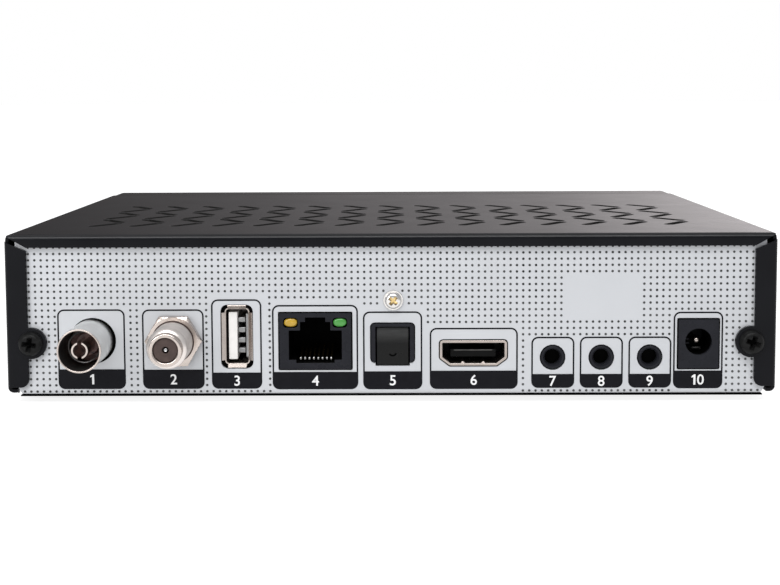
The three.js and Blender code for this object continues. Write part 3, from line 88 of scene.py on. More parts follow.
def corners(node):
    """A node's lowest and highest corner, in millimetres."""
    low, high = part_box(node)
    return np.array(low) / MM, np.array(high) / MM


def middle(node):
    """The middle of a node's box, in millimetres."""
    low, high = corners(node)
    return (low + high) / 2


panel_y = corners("chassis")[1][1]
base_z = corners("chassis")[0][2]
cover_high = corners("top_cover")[1]
print("rear panel at y", round(panel_y, 2), "base at z", round(base_z, 2))

# %% [markdown]
# The camera comes before anything else, because it decides what has to look right.
# It stands behind the receiver, a little above its top, and looks nearly level.
# The lens is shifted down a little instead of tilting further, so upright edges stay upright.

# %% Camera
camera_place = Vector((-1.52, 336.97, 69.27)) * MM
camera_yaw, camera_pitch, camera_roll = np.radians((0.617, -4.47, 0.271))
camera_lens = 59.81
shift_across, shift_up = 0.0096, -0.13

looking_forwards = Matrix(((-1, 0, 0), (0, 0, 1), (0, 1, 0))).to_4x4()
camera = bpy.data.objects.new("camera", bpy.data.cameras.new("camera"))
camera.matrix_world = (
    Matrix.Translation(camera_place)
    @ Matrix.Rotation(camera_yaw, 4, "Z")
    @ looking_forwards
    @ Matrix.Rotation(camera_pitch, 4, "X")
    @ Matrix.Rotation(-camera_roll, 4, "Z")
)
camera.data.lens = camera_lens
camera.data.shift_x, camera.data.shift_y = shift_across, shift_up
camera.data.clip_start = 0.01
bpy.context.collection.objects.link(camera)
bpy.context.scene.camera = camera
print("camera at", [round(v, 3) for v in camera.location])

# %% [markdown]
# A material is a small network of nodes. Building each by hand is long, so one helper adds a node
# and fills its sockets, and the others give the building blocks that nearly every finish needs:
# a noise in millimetres, a number or a colour that wanders between two values, and a fine bump.

# %% Helpers for materials
def add(tree, kind, _set=None, **sockets):
    """A new node. Named sockets are linked, or set to a value, and _set gives the node's own settings."""
    node = tree.nodes.new(kind)
    for key, value in (_set or {}).items():
        setattr(node, key, value)
    for key, value in sockets.items():
        socket = node.inputs[key.replace("_", " ")]
        if isinstance(value, bpy.types.NodeSocket):
            tree.links.new(value, socket)
        else:
            socket.default_value = value
    return node


def place_on_piece(tree, stretch=(1, 1, 1)):
    """Object coordinates in millimetres, stretched along each axis."""
    here = add(tree, "ShaderNodeTexCoord").outputs["Object"]
    scale = tuple(s / MM for s in stretch)
    return add(tree, "ShaderNodeMapping", Vector=here, Scale=scale).outputs["Vector"]


def noise(tree, size, detail=3.0, stretch=(1, 1, 1)):
    """Noise from 0 to 1 whose blotches are about size millimetres across."""
    where = place_on_piece(tree, stretch)
    return add(tree, "ShaderNodeTexNoise", Vector=where, Scale=1 / size, Detail=detail).outputs["Fac"]


def between(tree, factor, low, high, start=0.3, end=0.7):
    """A number that goes from low to high as the factor goes from start to end."""
    span = {"From_Min": start, "From_Max": end, "To_Min": low, "To_Max": high}
    return add(tree, "ShaderNodeMapRange", Value=factor, **span).outputs["Result"]


def shade(tree, factor, dark, light, start=0.3, end=0.7):
    """A colour that goes from dark to light as the factor goes from start to end."""
    ramp = add(tree, "ShaderNodeValToRGB", Fac=factor)
    first, last = ramp.color_ramp.elements
    first.position, last.position = start, end
    first.color, last.color = (*dark, 1), (*light, 1)
    return ramp.outputs["Color"]


def bump(tree, height, depth):
    """A bump of the given depth in millimetres."""
    return add(tree, "ShaderNodeBump", Height=height, Distance=depth * MM, Strength=1.0).outputs["Normal"]


print("material helpers ready")

# %% [markdown]
# Most finishes here are one recipe with other numbers: a base colour that wanders a little,
# a roughness that wanders a little, and a grain that catches the light.
# Real paint and moulded plastic are never quite even, and the eye notices when they are.

# %% The common recipe for a finish
finishes = {}


def finish(
    name, dark, light, rough, mottle=3.0, grain=0.3, grain_depth=0.004, metal=0.0, stretch=(1, 1, 1), **settings
):
    """Paint, plastic or metal: dark and light are its two shades, rough its lowest and highest roughness."""
    made = bpy.data.materials.new(name)
    made.use_nodes = True
    tree = made.node_tree
    shader = tree.nodes["Principled BSDF"]
    cloud = noise(tree, mottle, stretch=stretch)
    fine = noise(tree, grain, detail=2.0, stretch=stretch)
    tree.links.new(shade(tree, cloud, dark, light), shader.inputs["Base Color"])
    tree.links.new(between(tree, noise(tree, mottle * 0.6), *rough), shader.inputs["Roughness"])
    tree.links.new(bump(tree, fine, grain_depth), shader.inputs["Normal"])
    shader.inputs["Metallic"].default_value = metal
    for key, value in settings.items():
        shader.inputs[key.replace("_", " ")].default_value = value
    finishes[name] = made
    return made


def grey(level, tint=(1, 1, 1)):
    """A shade of grey with a slight tint."""
    return tuple(level * t for t in tint)


COOL = (0.97, 0.99, 1.03)
INKY = (0.97, 1.0, 1.25)
BLUE_BLACK = (1, 1, 1.35)
WARM = (1.02, 0.99, 0.96)
PINKISH = (1.10, 0.97, 0.89)
BRASSY = (1.06, 0.98, 0.93)
SILVERY = (1, 1, 0.98)
DULL = {"Specular_IOR_Level": 0.08}
HANDLED = {"Specular_IOR_Level": 0.26}
print("recipe ready")

# %% [markdown]
# The cover is black powder paint on steel. Seen along the sheet it shines like satin,
# and seen square on it is nearly black. Paint does that by itself, so no trick is needed:
# a dark base, a low specular level, a middling roughness, and the fine orange peel that powder leaves.
# Where hands rub the folds it shines more. The slot walls get a lighter grey: painted light, standing in for the
# light that falls on them.

# %% Paints
finish("cover_paint", grey(0.0042, INKY), grey(0.0062, INKY), (0.225, 0.245), 14.0, 0.35, 0.0006, **DULL)
finish("rubbed_paint", grey(0.0042, INKY), grey(0.0062, INKY), (0.30, 0.36), 14.0, 0.35, 0.0011, **HANDLED)
# Painted light: the slot walls' lighter grey.
finish("vent_painted_light", grey(0.014, WARM), grey(0.019, WARM), (0.40, 0.46), 14.0, 0.35, 0.0011, **HANDLED)
finish("panel_paint", grey(0.425, COOL), grey(0.455, COOL), (0.42, 0.50), 20.0, 0.5, 0.002)
# This black also darkens the base's underside, as painted shade.
finish("print_and_shade_black", grey(0.0046, BLUE_BLACK), grey(0.0060, BLUE_BLACK), (0.42, 0.55), 2.0, 0.4, 0.001, **DULL)
finish("print_grey", grey(0.022), grey(0.085), (0.5, 0.6), 9.0, 0.4, 0.001, **DULL)
finish("print_white", grey(0.60), grey(0.68), (0.45, 0.55), 2.0, 0.4, 0.001)
print("paints:", len(finishes))

# %% [markdown]
# Plastics differ in colour, in gloss, and in how their mould was polished.
# The socket blocks are satin charcoal, the front is a deep satin black, and the window is smoked.

# %% Plastics and rubber
finish("socket_plastic", grey(0.0120, INKY), grey(0.0145, INKY), (0.24, 0.34), 2.5, 0.25, 0.001, **DULL)
# Where deep_black darkens a gap, a hole or a recess below, it is painted shade.
finish("deep_black", grey(0.0006), grey(0.0010), (0.5, 0.6), 2.5, 0.25, 0.001, Specular_IOR_Level=0.02)
flap = finish("flap_plastic", grey(0.0030), grey(0.0042), (0.22, 0.28), 2.5, 0.25, 0.001, Specular_IOR_Level=0.16)
finish("tongue_plastic", grey(0.002), grey(0.003), (0.30, 0.38), 2.0, 0.25, 0.001, Specular_IOR_Level=0.08)
finish("white_insulator", grey(0.58, WARM), grey(0.64, WARM), (0.35, 0.45), 2.0, 0.2, 0.001)
finish("brown_insulator", (0.050, 0.036, 0.033), (0.068, 0.049, 0.044), (0.4, 0.5), 1.5, 0.2, 0.001, **DULL)
finish("brown_depth", (0.045, 0.020, 0.017), (0.36, 0.17, 0.14), (0.30, 0.42), 1.6, 0.2, 0.001, stretch=(1, 1, 3))
finish("front_plastic", grey(0.004), grey(0.006), (0.25, 0.29), 10.0, 0.8, 0.001, Specular_IOR_Level=0.10)
finish("foot_rubber", grey(0.012), grey(0.02), (0.75, 0.85), 1.2, 0.18, 0.02)
finish("chip_resin", grey(0.014), grey(0.02), (0.5, 0.6), 2.0, 0.15, 0.006)
finish("capacitor_sleeve", (0.010, 0.012, 0.02), (0.016, 0.018, 0.03), (0.25, 0.35), 3.0, 0.3, 0.002)
print("plastics added:", len(finishes))

# %% [markdown]
# The upper part of the optical socket's flap is painted lighter, in faint level streaks: a painted highlight.
# The painted highlight grows with the height, and a noise stretched across the flap breaks it into streaks.

# %% Painted highlight on the optical flap
highlight_from, highlight_to = 13.4, 16.3
flap_nodes = flap.node_tree
height = add(flap_nodes, "ShaderNodeSeparateXYZ", Vector=place_on_piece(flap_nodes)).outputs["Z"]
highlight_streaks = between(flap_nodes, noise(flap_nodes, 0.5, stretch=(0.12, 1, 1)), 0.65, 1.0)
# Painted highlight: the flap's colour grows lighter towards its top.
flap_highlight = between(flap_nodes, height, 0.0, highlight_streaks, highlight_from, highlight_to)
highlight_colour = shade(flap_nodes, flap_highlight, grey(0.0036), grey(0.040), 0.0, 1.0)
flap_nodes.links.new(highlight_colour, flap_nodes.nodes["Principled BSDF"].inputs["Base Color"])
print("the flap is worn between z", highlight_from, "and", highlight_to)

# %% [markdown]
# Metals take their whole look from what they mirror, so their roughness matters more than their colour.
# Turned barrels carry rings, which a noise stretched along the turning axis gives.
# Stamped shells are smoother, and nickel over brass has a warm, slightly pink cast.

# %% Metals
RINGS = (0.1, 4.0, 0.1)
finish("satin_nickel", grey(0.80, SILVERY), grey(0.86, SILVERY), (0.30, 0.35), 2.0, 0.9, 0.0012, 1.0, RINGS)
finish("warm_nickel", grey(0.45, PINKISH), grey(0.50, PINKISH), (0.20, 0.25), 3.0, 0.9, 0.0006, 1.0)
finish("pale_nickel", grey(0.64, BRASSY), grey(0.70, BRASSY), (0.32, 0.38), 3.0, 0.9, 0.0006, 1.0)
finish("bright_screw", grey(0.60, WARM), grey(0.68, WARM), (0.20, 0.26), 1.5, 0.8, 0.0002, 1.0)
finish("black_screw", grey(0.006), grey(0.010), (0.28, 0.36), 1.2, 0.5, 0.001, **DULL)
finish("gold_plate", (0.62, 0.45, 0.20), (0.72, 0.54, 0.26), (0.18, 0.26), 0.8, 0.5, 0.0005, 1.0)
finish("shell_nickel", grey(0.33, PINKISH), grey(0.38, PINKISH), (0.22, 0.28), 3.0, 0.9, 0.0005, 1.0)
finish("bore_nickel", grey(0.10, WARM), grey(0.14, WARM), (0.40, 0.50), 2.0, 0.5, 0.0006, 1.0)
finish("dull_contact", grey(0.22), grey(0.30), (0.35, 0.45), 2.0, 0.5, 0.0006, 1.0)
finish("tinned_steel", grey(0.55), grey(0.62), (0.25, 0.38), 4.0, 0.9, 0.001, 1.0)
finish("black_anodised", grey(0.02), grey(0.03), (0.4, 0.5), 3.0, 0.3, 0.003, 0.7)
print("metals added:", len(finishes))

# %% [markdown]
# The lamps have coloured lenses: a strongly tinted plastic with a little painted glow, though no lamp
# lights them. The display window is smoked, so dark that it reads as black.

# %% Lenses
def lens(name, colour, painted_glow):
    """A tinted glossy plastic with a little painted glow in its own colour."""
    made = finish(name, tuple(c * 0.8 for c in colour), colour, (0.12, 0.20), 1.5, 0.5, 0.0005)
    shader = made.node_tree.nodes["Principled BSDF"]
    shader.inputs["Emission Color"].default_value = (*colour, 1)
    shader.inputs["Emission Strength"].default_value = painted_glow


lens("amber_lens", (0.42, 0.26, 0.022), 0.01)
lens("green_lens", (0.055, 0.26, 0.045), 0.01)
lens("red_lens", (0.45, 0.02, 0.02), 0.02)
finish("smoked_window", grey(0.0015), grey(0.0025), (0.03, 0.06), 12.0, 0.8, 0.0002, Specular_IOR_Level=0.24)
print("lenses added:", len(finishes))

# %% [markdown]
# A circuit board is green lacquer over woven glass. The weave shows through as a fine lattice:
# two sets of waves, one along each side of the board, that lift the lacquer where they cross.

# %% Circuit board
weave_pitch, weave_depth = 0.9, 0.01
wave_length = 0.314  # a wave texture of scale 1 repeats itself after this length
board = finish("circuit_board", (0.010, 0.075, 0.030), (0.016, 0.11, 0.045), (0.22, 0.34), 6.0, 0.35, 0.002)
lacquer = board.node_tree
on_board = place_on_piece(lacquer)
threads = [
    add(lacquer, "ShaderNodeTexWave", {"bands_direction": way}, Vector=on_board, Scale=wave_length / weave_pitch)
    for way in ("X", "Y")
]
weave = add(lacquer, "ShaderNodeMath", {"operation": "MULTIPLY"})
for thread, socket in zip(threads, weave.inputs):
    lacquer.links.new(thread.outputs["Fac"], socket)
lifted = bump(lacquer, weave.outputs[0], weave_depth)
lacquer.links.new(lifted, lacquer.nodes["Principled BSDF"].inputs["Normal"])
print("finishes in all:", len(finishes))

# %% [markdown]
# Every new piece goes through one door: points in millimetres and faces go in, and a finished object
# that rides on its CAD body comes out. Doubles are merged there, so poles and seams close by themselves.
# Some pieces carry a second finish, on the faces that a test on their middle and normal picks.


def mesh_of(name, shells):
    """A closed mesh from shells, each a pair of points in millimetres and faces."""
    mesh = bpy.data.meshes.new(name)
    points, faces, start = [], [], 0
    for shell_points, shell_faces in shells:
        points.append(np.asarray(shell_points, float))
        faces += [[start + int(i) for i in face] for face in shell_faces]
        start += len(shell_points)
    mesh.from_pydata((np.concatenate(points) * MM).tolist(), [], faces)
    work = bmesh.new()
    work.from_mesh(mesh)
    bmesh.ops.remove_doubles(work, verts=work.verts, dist=1e-7)
    bmesh.ops.recalc_face_normals(work, faces=work.faces)
    work.to_mesh(mesh)
    work.free()
    return mesh


def shade_smooth(mesh, angle):
    """Smooth shading that keeps edges sharper than the angle crisp."""
    mesh.shade_smooth()
    mesh.set_sharp_from_angle(angle=math.radians(angle))


def dressed(name, mesh, finish_name, node=None, body="case"):
    """An object with its finish. It rides on its CAD node's body and stands for that node, if it has one."""
    mesh.materials.append(finishes[finish_name])
    made = bpy.data.objects.new(name, mesh)
    bpy.context.collection.objects.link(made)
    if node:
        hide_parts(node)
        body = body_of(frame["nodes"][node])[0]
    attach(made, body)
    return made


def piece(name, shells, finish_name, node=None, body="case", angle=35):
    """A new piece from shells in millimetres."""
    mesh = mesh_of(name, shells)
    shade_smooth(mesh, angle)
    return dressed(name, mesh, finish_name, node, body)


def second_finish(made, finish_name, belongs):
    """One more finish, for the faces that belongs(middle in millimetres, normal) picks."""
    made.data.materials.append(finishes[finish_name])
    chosen = [polygon for polygon in made.data.polygons if belongs(polygon.center / MM, polygon.normal)]
    for polygon in chosen:
        polygon.material_index = len(made.data.materials) - 1
    return len(chosen)


# %% [markdown]
# The shapes themselves are worked out with numpy. Four kinds cover a whole receiver:
# a profile turned round an axis, a flat sheet with holes, a block with a bore, and a softened CAD copy.
# The first three start from a line whose corners may be rounded, so that helper comes first.

# %% Lines with round corners
def outline(corner_list, steps=6):
    """A closed line through corners (across, up, radius). Each round is an arc between its two tangent points."""
    rows = np.array([(*corner, 0.0)[:3] for corner in corner_list], float)
    parts = []
    for here, before, after in zip(rows, np.roll(rows, 1, 0), np.roll(rows, -1, 0)):
        corner, radius = here[:2], here[2]
        if radius == 0:
            parts.append(corner[None])
            continue
        back = (before[:2] - corner) / np.linalg.norm(before[:2] - corner)
        ahead = (after[:2] - corner) / np.linalg.norm(after[:2] - corner)
        half = np.arccos(np.clip(back @ ahead, -1, 1)) / 2
        centre = corner + (back + ahead) / np.linalg.norm(back + ahead) * radius / np.sin(half)
        start = corner + back * radius / np.tan(half) - centre
        side = np.array([-start[1], start[0]])
        turn = np.linspace(0, np.pi - 2 * half, steps + 1)[:, None]
        way = np.sign(side @ (ahead * radius / np.tan(half) + corner - centre))
        parts.append(centre + start * np.cos(turn) + way * side * np.sin(turn))
    return np.concatenate(parts)


def rectangle(left, right, low, high, radius=0.0):
    """A rectangle with round corners."""
    return outline([(left, low, radius), (right, low, radius), (right, high, radius), (left, high, radius)])


def circle(across, up, radius, sides=48):
    """Points at equal angles round a middle."""
    angle = np.linspace(0, 2 * np.pi, sides, endpoint=False)
    return np.stack([across + radius * np.cos(angle), up + radius * np.sin(angle)], 1)


print("a rounded square has", len(rectangle(0, 1, 0, 1, 0.1)), "points")

# %% [markdown]
# A turned piece is a profile swept round an axis: the point at angle t and station s lies at
# radius r(s) in the direction (cos t, sin t). The grid of points is one array, and so are its faces.
# Where the radius also changes with the angle, as on a thread or a hexagon, it comes as a table.

# %% Turned pieces
def grid_faces(rows, columns, round_rows=False):
    """Four-sided faces between neighbours of a grid of points. The columns always close into rings."""
    i, j = np.meshgrid(np.arange(rows if round_rows else rows - 1), np.arange(columns), indexing="ij")
    i_next, j_next = (i + 1) % rows, (j + 1) % columns
    ring = [i * columns + j, i * columns + j_next, i_next * columns + j_next, i_next * columns + j]
    return np.stack(ring, -1).reshape(-1, 4)


def turned(profile, centre, axis="Y", sides=64, ring=False):
    """Each profile point (along, radius) becomes a circle of that radius about the axis through the centre."""
    profile = np.asarray(profile, float)
    angle = np.linspace(0, 2 * np.pi, sides, endpoint=False)
    along = np.repeat(profile[:, :1], sides, 1)
    first, second = profile[:, 1:] * np.cos(angle), profile[:, 1:] * np.sin(angle)
    order = {"Y": (first, along, second), "Z": (first, second, along)}[axis]
    points = np.stack(order, -1).reshape(-1, 3) + np.asarray(centre, float)
    return points, grid_faces(len(profile), sides, ring)


def swept(along, radius, centre, ring=False):
    """A turned piece whose radius changes with the angle too: radius is a table of stations by angles."""
    stations, sides = radius.shape
    angle = np.linspace(0, 2 * np.pi, sides, endpoint=False)
    y = np.repeat(np.asarray(along, float)[:, None], sides, 1)
    points = np.stack([radius * np.cos(angle), y, radius * np.sin(angle)], -1)
    return points.reshape(-1, 3) + np.asarray(centre, float), grid_faces(stations, sides, ring)


print("a turned ring of two stations has", len(turned([(0, 1), (1, 1)], (0, 0, 0))[1]), "faces")

# %% [markdown]
# A flat sheet with holes needs its two faces cut into triangles round the holes.
# Blender has a function for that, and the walls are then plain strips between the two faces.
# A block with a bore is the same, except that the bore ends on a floor inside the block.
# Slabs and boxes need no such cutting: their eight corners and six faces are known at once.

# %% Sheets and blocks
def lay(flat, depth, facing="Y"):
    """Flat points (across, up) at a depth: for Y they stand in x and z, and for Z they lie in x and y."""
    level = np.full(len(flat), float(depth))
    order = (flat[:, 0], level, flat[:, 1]) if facing == "Y" else (flat[:, 0], flat[:, 1], level)
    return np.stack(order, 1)


def triangles_of(loops):
    """The triangles that fill a flat outline round its holes."""
    return tessellate_polygon([[Vector((*point, 0)) for point in loop] for loop in loops])


def cap(loops, depth, facing="Y"):
    """One flat face with holes, as triangles."""
    return np.concatenate([lay(loop, depth, facing) for loop in loops]), triangles_of(loops)


def wall(loop, low, high, facing="Y"):
    """A strip from one depth to another along a closed line."""
    points = np.concatenate([lay(loop, low, facing), lay(loop, high, facing)])
    return points, grid_faces(2, len(loop))


def sheet(outer, holes, low, high):
    """A flat sheet between two depths, with holes right through."""
    loops = [outer, *holes]
    return [cap(loops, low), cap(loops, high)] + [wall(loop, low, high) for loop in loops]


def block(outer, bore, back, face, floor):
    """A solid block whose bore opens on its face and ends on a floor."""
    return [cap([outer, bore], face), cap([outer], back), wall(outer, back, face), wall(bore, floor, face),
            cap([bore], floor)]


def slab(corner_list):
    """A closed solid from eight corners: four of one face in order, then four of the other."""
    faces = [(0, 1, 2, 3), (4, 5, 6, 7), (0, 1, 5, 4), (1, 2, 6, 5), (2, 3, 7, 6), (3, 0, 4, 7)]
    return np.array(corner_list, float), faces


def box_shell(low, high):
    """A closed box between two corners."""
    (a, b, c), (d, e, f) = low, high
    return slab([(a, b, c), (d, b, c), (d, b, f), (a, b, f), (a, e, c), (d, e, c), (d, e, f), (a, e, f)])


print("a box has", len(box_shell((0, 0, 0), (1, 1, 1))[1]), "faces")

# %% [markdown]
# Many CAD solids already have the right shape and only lack the tiny rounds that catch the light.
# Such a solid is copied, its loose triangles are merged, flat areas are joined, and a bevel softens
# the edges. The weighted normals keep large faces flat while their rims shade as rounds.

# %% Softened copies of CAD solids
sharp_angle = 30


def soften(made, rounding, segments=2):
    """A bevel on the sharp edges, with normals that follow the large faces."""
    bevel = made.modifiers.new("edge rounds", "BEVEL")
    bevel.width = rounding * MM
    bevel.segments = segments
    bevel.limit_method = "ANGLE"
    bevel.angle_limit = math.radians(sharp_angle)
    made.modifiers.new("flat faces", "WEIGHTED_NORMAL").keep_sharp = True


def merged_copy(node):
    """A CAD node's mesh with its doubles merged and its flat areas joined."""
    mesh = frame["nodes"][node].data.copy()
    work = bmesh.new()
    work.from_mesh(mesh)
    bmesh.ops.remove_doubles(work, verts=work.verts, dist=1e-6)
    bmesh.ops.dissolve_limit(work, angle_limit=math.radians(0.5), verts=work.verts, edges=work.edges)
    work.to_mesh(mesh)
    work.free()
    return mesh


def softened(node, finish_name, rounding=0.12, segments=2):
    """A bevelled copy that stands for its CAD node."""
    mesh = merged_copy(node)
    shade_smooth(mesh, sharp_angle)
    mesh.materials.clear()
    made = dressed(node + "_finished", mesh, finish_name, node)
    soften(made, rounding, segments)
    return made


print("shape helpers ready")

# %% [markdown]
# The studio: a plain pale floor that runs to the horizon, a soft sky that is darker behind one side
# of the receiver, and two soft lamps behind the camera. A black sheet seen at a glancing angle
# mirrors the low sky beyond it, so the sky's slow change makes its top go from charcoal to light grey.
# The floor is white acrylic lit from below, as on a photographer's table, so shadows on it stay pale.

# %% Floor
floor_reach, floor_glow = 6000, 0.85
floor = bpy.data.objects.new("floor", bpy.data.meshes.new("floor"))
floor_points = lay(rectangle(-floor_reach, floor_reach, -floor_reach, floor_reach), 0, "Z") * MM
floor.data.from_pydata(floor_points.tolist(), [], [range(len(floor_points))])
bpy.context.collection.objects.link(floor)
paper = finish("floor_paper", grey(0.36), grey(0.38), (0.8, 0.9), 60.0, 1.0, 0.002)
paper.node_tree.nodes["Principled BSDF"].inputs["Emission Color"].default_value = (1, 1, 1, 1)
paper.node_tree.nodes["Principled BSDF"].inputs["Emission Strength"].default_value = floor_glow
floor.data.materials.append(paper)
print("floor half width", floor_reach, "mm")

# %% [markdown]
# The sky is a formula of the direction alone, and two helpers write it as nodes: a ramp through
# a list of greys, and a mix of two colours.

# %% Helpers for the sky
SKY_TINT = (1.04, 0.98, 0.99)


def grey_ramp(tree, factor, stops):
    """Slightly warm greys that go from stop to stop, each a place from 0 to 1 and a level."""
    node = add(tree, "ShaderNodeValToRGB", Fac=factor)
    elements = node.color_ramp.elements
    for place, _ in stops[1:-1]:
        elements.new(place)
    for element, (place, level) in zip(elements, stops):
        element.position = place
        element.color = (*grey(level, SKY_TINT), 1)
    return node.outputs["Color"]


def mix(tree, factor, first, second):
    """The first colour at factor 0 and the second at 1."""
    node = add(tree, "ShaderNodeMix", {"data_type": "RGBA"})
    for index, value in ((0, factor), (6, first), (7, second)):
        if isinstance(value, bpy.types.NodeSocket):
            tree.links.new(value, node.inputs[index])
        else:
            node.inputs[index].default_value = value
    return node.outputs[2]


print("sky helpers ready")

# %% [markdown]
# The stops say how light the sky is from the receiver's one side to the other, low and far away.
# Higher up it turns to an even light grey, as a tent of white cloth would, and on the camera's side
# it is grey all over. What the camera sees of it directly is plain white, as in a product picture.

# %% Sky
sky_strength = 1.5
low_sky_stops = [
    (0.0, 0.066), (0.08, 0.075), (0.195, 0.105), (0.32, 0.15), (0.45, 0.225),
    (0.58, 0.30), (0.70, 0.41), (0.83, 0.70), (0.945, 0.96), (1.0, 1.0),
]
high_sky = (0.52, 0.52, 0.52, 1)
near_sky = (0.38, 0.388, 0.40, 1)
white_sky = (1 / sky_strength, 1 / sky_strength, 1 / sky_strength, 1)
world = bpy.data.worlds.new("studio")
bpy.context.scene.world = world
world.use_nodes = True
sky = world.node_tree
parts = add(sky, "ShaderNodeSeparateXYZ", Vector=add(sky, "ShaderNodeTexCoord").outputs["Generated"])
across_sky = between(sky, parts.outputs["X"], 1.0, 0.0, -0.30, 0.30)
far_away = between(sky, parts.outputs["Y"], 0.0, 1.0, 0.0, -0.6)
low_down = between(sky, parts.outputs["Z"], 1.0, 0.0, 0.30, 0.75)
tent = mix(sky, low_down, high_sky, grey_ramp(sky, across_sky, low_sky_stops))
around = mix(sky, far_away, near_sky, tent)
shown = mix(sky, add(sky, "ShaderNodeLightPath").outputs["Is Camera Ray"], around, white_sky)
sky.links.new(shown, sky.nodes["Background"].inputs["Color"])
sky.nodes["Background"].inputs["Strength"].default_value = sky_strength
print("sky stops:", len(low_sky_stops))

# %% [markdown]
# A lamp as wide as a window gives the soft shade inside the sockets and under their rims.
# It hangs high above the camera, so the cover's rear fold mirrors it as one thin light line.
# A small one, low at the left, makes that side of the panel lighter and gives the barrels a dark side.

# %% Lamps
def soft_lamp(name, place, target, size, power):
    """A lamp of the given width and height in millimetres, aimed at a target."""
    lamp = bpy.data.objects.new(name, bpy.data.lights.new(name, "AREA"))
    lamp.data.shape = "RECTANGLE"
    lamp.data.size, lamp.data.size_y = size[0] * MM, size[1] * MM
    lamp.data.energy = power
    lamp.location = Vector(place) * MM
    lamp.rotation_euler = (Vector(target) - Vector(place)).to_track_quat("-Z", "Y").to_euler()
    bpy.context.collection.objects.link(lamp)


soft_lamp("key", (60, 600, 800), (0, panel_y, 30), (880, 420), 7.2)
soft_lamp("side", (330, 420, 200), (20, panel_y, 20), (200, 200), 0.75)
bpy.context.scene.view_settings.view_transform = "Standard"

# %% [markdown]
# The cover is one sheet of steel, folded over the top and sides, with flanges that turn in at the rear.
# Its CAD solid gives the folds, the mitred corners, the screw lobes and the hems.
# Only the vents need more: rows of slots with round ends, which lean to one side and the other in turn.

# %% The vents' places
vent_columns, vent_rows = 15, 6
vent_pitch_x, vent_pitch_y = 9.6, 8.95
vent_margin, vent_width = 17.0, 2.5
vent_run, vent_reach = 4.4, 5.5
field_half, field_edge = 74.6, 1.8


def slot_line(x, y, lean, sides=9):
    """A slot's edge: a half circle about each end of its middle line."""
    along = np.array([lean * vent_run, vent_reach]) / 2
    turn = np.arctan2(along[1], along[0]) + np.linspace(-np.pi / 2, np.pi / 2, sides)
    half = np.stack([np.cos(turn), np.sin(turn)], 1) * vent_width / 2
    return np.concatenate([along + half, -along - half]) + (x, y)


column, row = np.meshgrid(np.arange(vent_columns), np.arange(vent_rows))
vent_x = (column.ravel() - (vent_columns - 1) / 2) * vent_pitch_x
vent_y = cover_high[1] - vent_margin - (row.ravel() + 0.5) * vent_pitch_y
vent_lean = np.where(row.ravel() % 2 == 0, 1, -1)
vents = [slot_line(*place) for place in zip(vent_x, vent_y, vent_lean)]
field_rear = vent_y.max() + vent_reach / 2 + vent_width / 2 + field_edge
field_front = vent_y.min() - vent_reach / 2 - vent_width / 2 - field_edge
print("vents:", len(vents))

# %% [markdown]
# The field that holds the vents is cut out of a copy of the cover. Four planes slice the sheet along the
# field's sides, and the faces between them go. The points that this leaves open are kept,
# because the new field has to start on exactly these points if the two are to join.

# %% Cutting the field out
sheet_thick = 0.8
top_z, under_z = cover_high[2], cover_high[2] - sheet_thick
work = bmesh.new()
work.from_mesh(merged_copy("top_cover"))
side_cuts = [((place, 0), (1, 0)) for place in (-field_half, field_half)]
end_cuts = [((0, place), (0, 1)) for place in (field_front, field_rear)]
for place, way in side_cuts + end_cuts:
    everything = work.verts[:] + work.edges[:] + work.faces[:]
    through = (*(MM * c for c in place), 0)
    bmesh.ops.bisect_plane(work, geom=everything, plane_co=through, plane_no=(*way, 0), dist=1e-7)


def in_field(centre):
    """Whether a point in millimetres is within the sides of the vents' field."""
    return abs(centre[0]) < field_half and field_front < centre[1] < field_rear


cut_away = [
    face for face in work.faces
    for centre in [face.calc_center_median() / MM]
    if in_field(centre) and centre[2] > under_z - 0.1
]
bmesh.ops.delete(work, geom=cut_away, context="FACES")
work.verts.index_update()
rest = np.array([vert.co for vert in work.verts]) / MM
rest_faces = [[vert.index for vert in face.verts] for face in work.faces]
open_points = np.array([vert.co for vert in work.verts if vert.is_boundary]) / MM
work.free()
print("faces cut away:", len(cut_away), "points left open:", len(open_points))

# %% [markdown]
# A new field with the slots is laid into the hole: a face with holes on top, the same below, and a wall
# round every slot. Hands polish the paint along the folds, so the faces there shine a little more.
# The slots are punched through, and their walls are a lighter grey than the sheet, as painted light.

# %% Cover
field = []
for level in (top_z, under_z):
    loop = open_points[abs(open_points[:, 2] - level) < 0.05]
    turn = np.arctan2(loop[:, 1] - (field_rear + field_front) / 2, loop[:, 0])
    loop = loop[np.argsort(turn)][:, :2]
    field.append(cap([loop, *vents], level, "Z"))
field += [wall(line, under_z, top_z, "Z") for line in vents]
cover = piece("top_cover_finished", [(rest, rest_faces), *field], "cover_paint", "top_cover")


def on_fold(centre, normal):
    """A face that curves over a fold: it looks up, but not straight up."""
    return normal.z > 0.25 and max(abs(normal.x), normal.y) > 0.25


def in_vent(centre, normal):
    """A face of a slot's wall."""
    return abs(normal.z) < 0.5 and in_field(centre)


print("faces on folds:", second_finish(cover, "rubbed_paint", on_fold))
print("faces in vents:", second_finish(cover, "vent_painted_light", in_vent))
soften(cover, 0.14)

# %% [markdown]
# The chassis is the second folded sheet: the base, and the rear panel with a cut-out for every socket.
# Its CAD solid is right, so it gets rounded edges and the light enamel, and the printing goes on top.
# Faces that look down are painted dark, as painted shade under the base. A black strip under the base's rear edge
# is a painted shadow: it draws the thin dark line at the panel's foot.

# %% Chassis
chassis = softened("chassis", "panel_paint", 0.1)
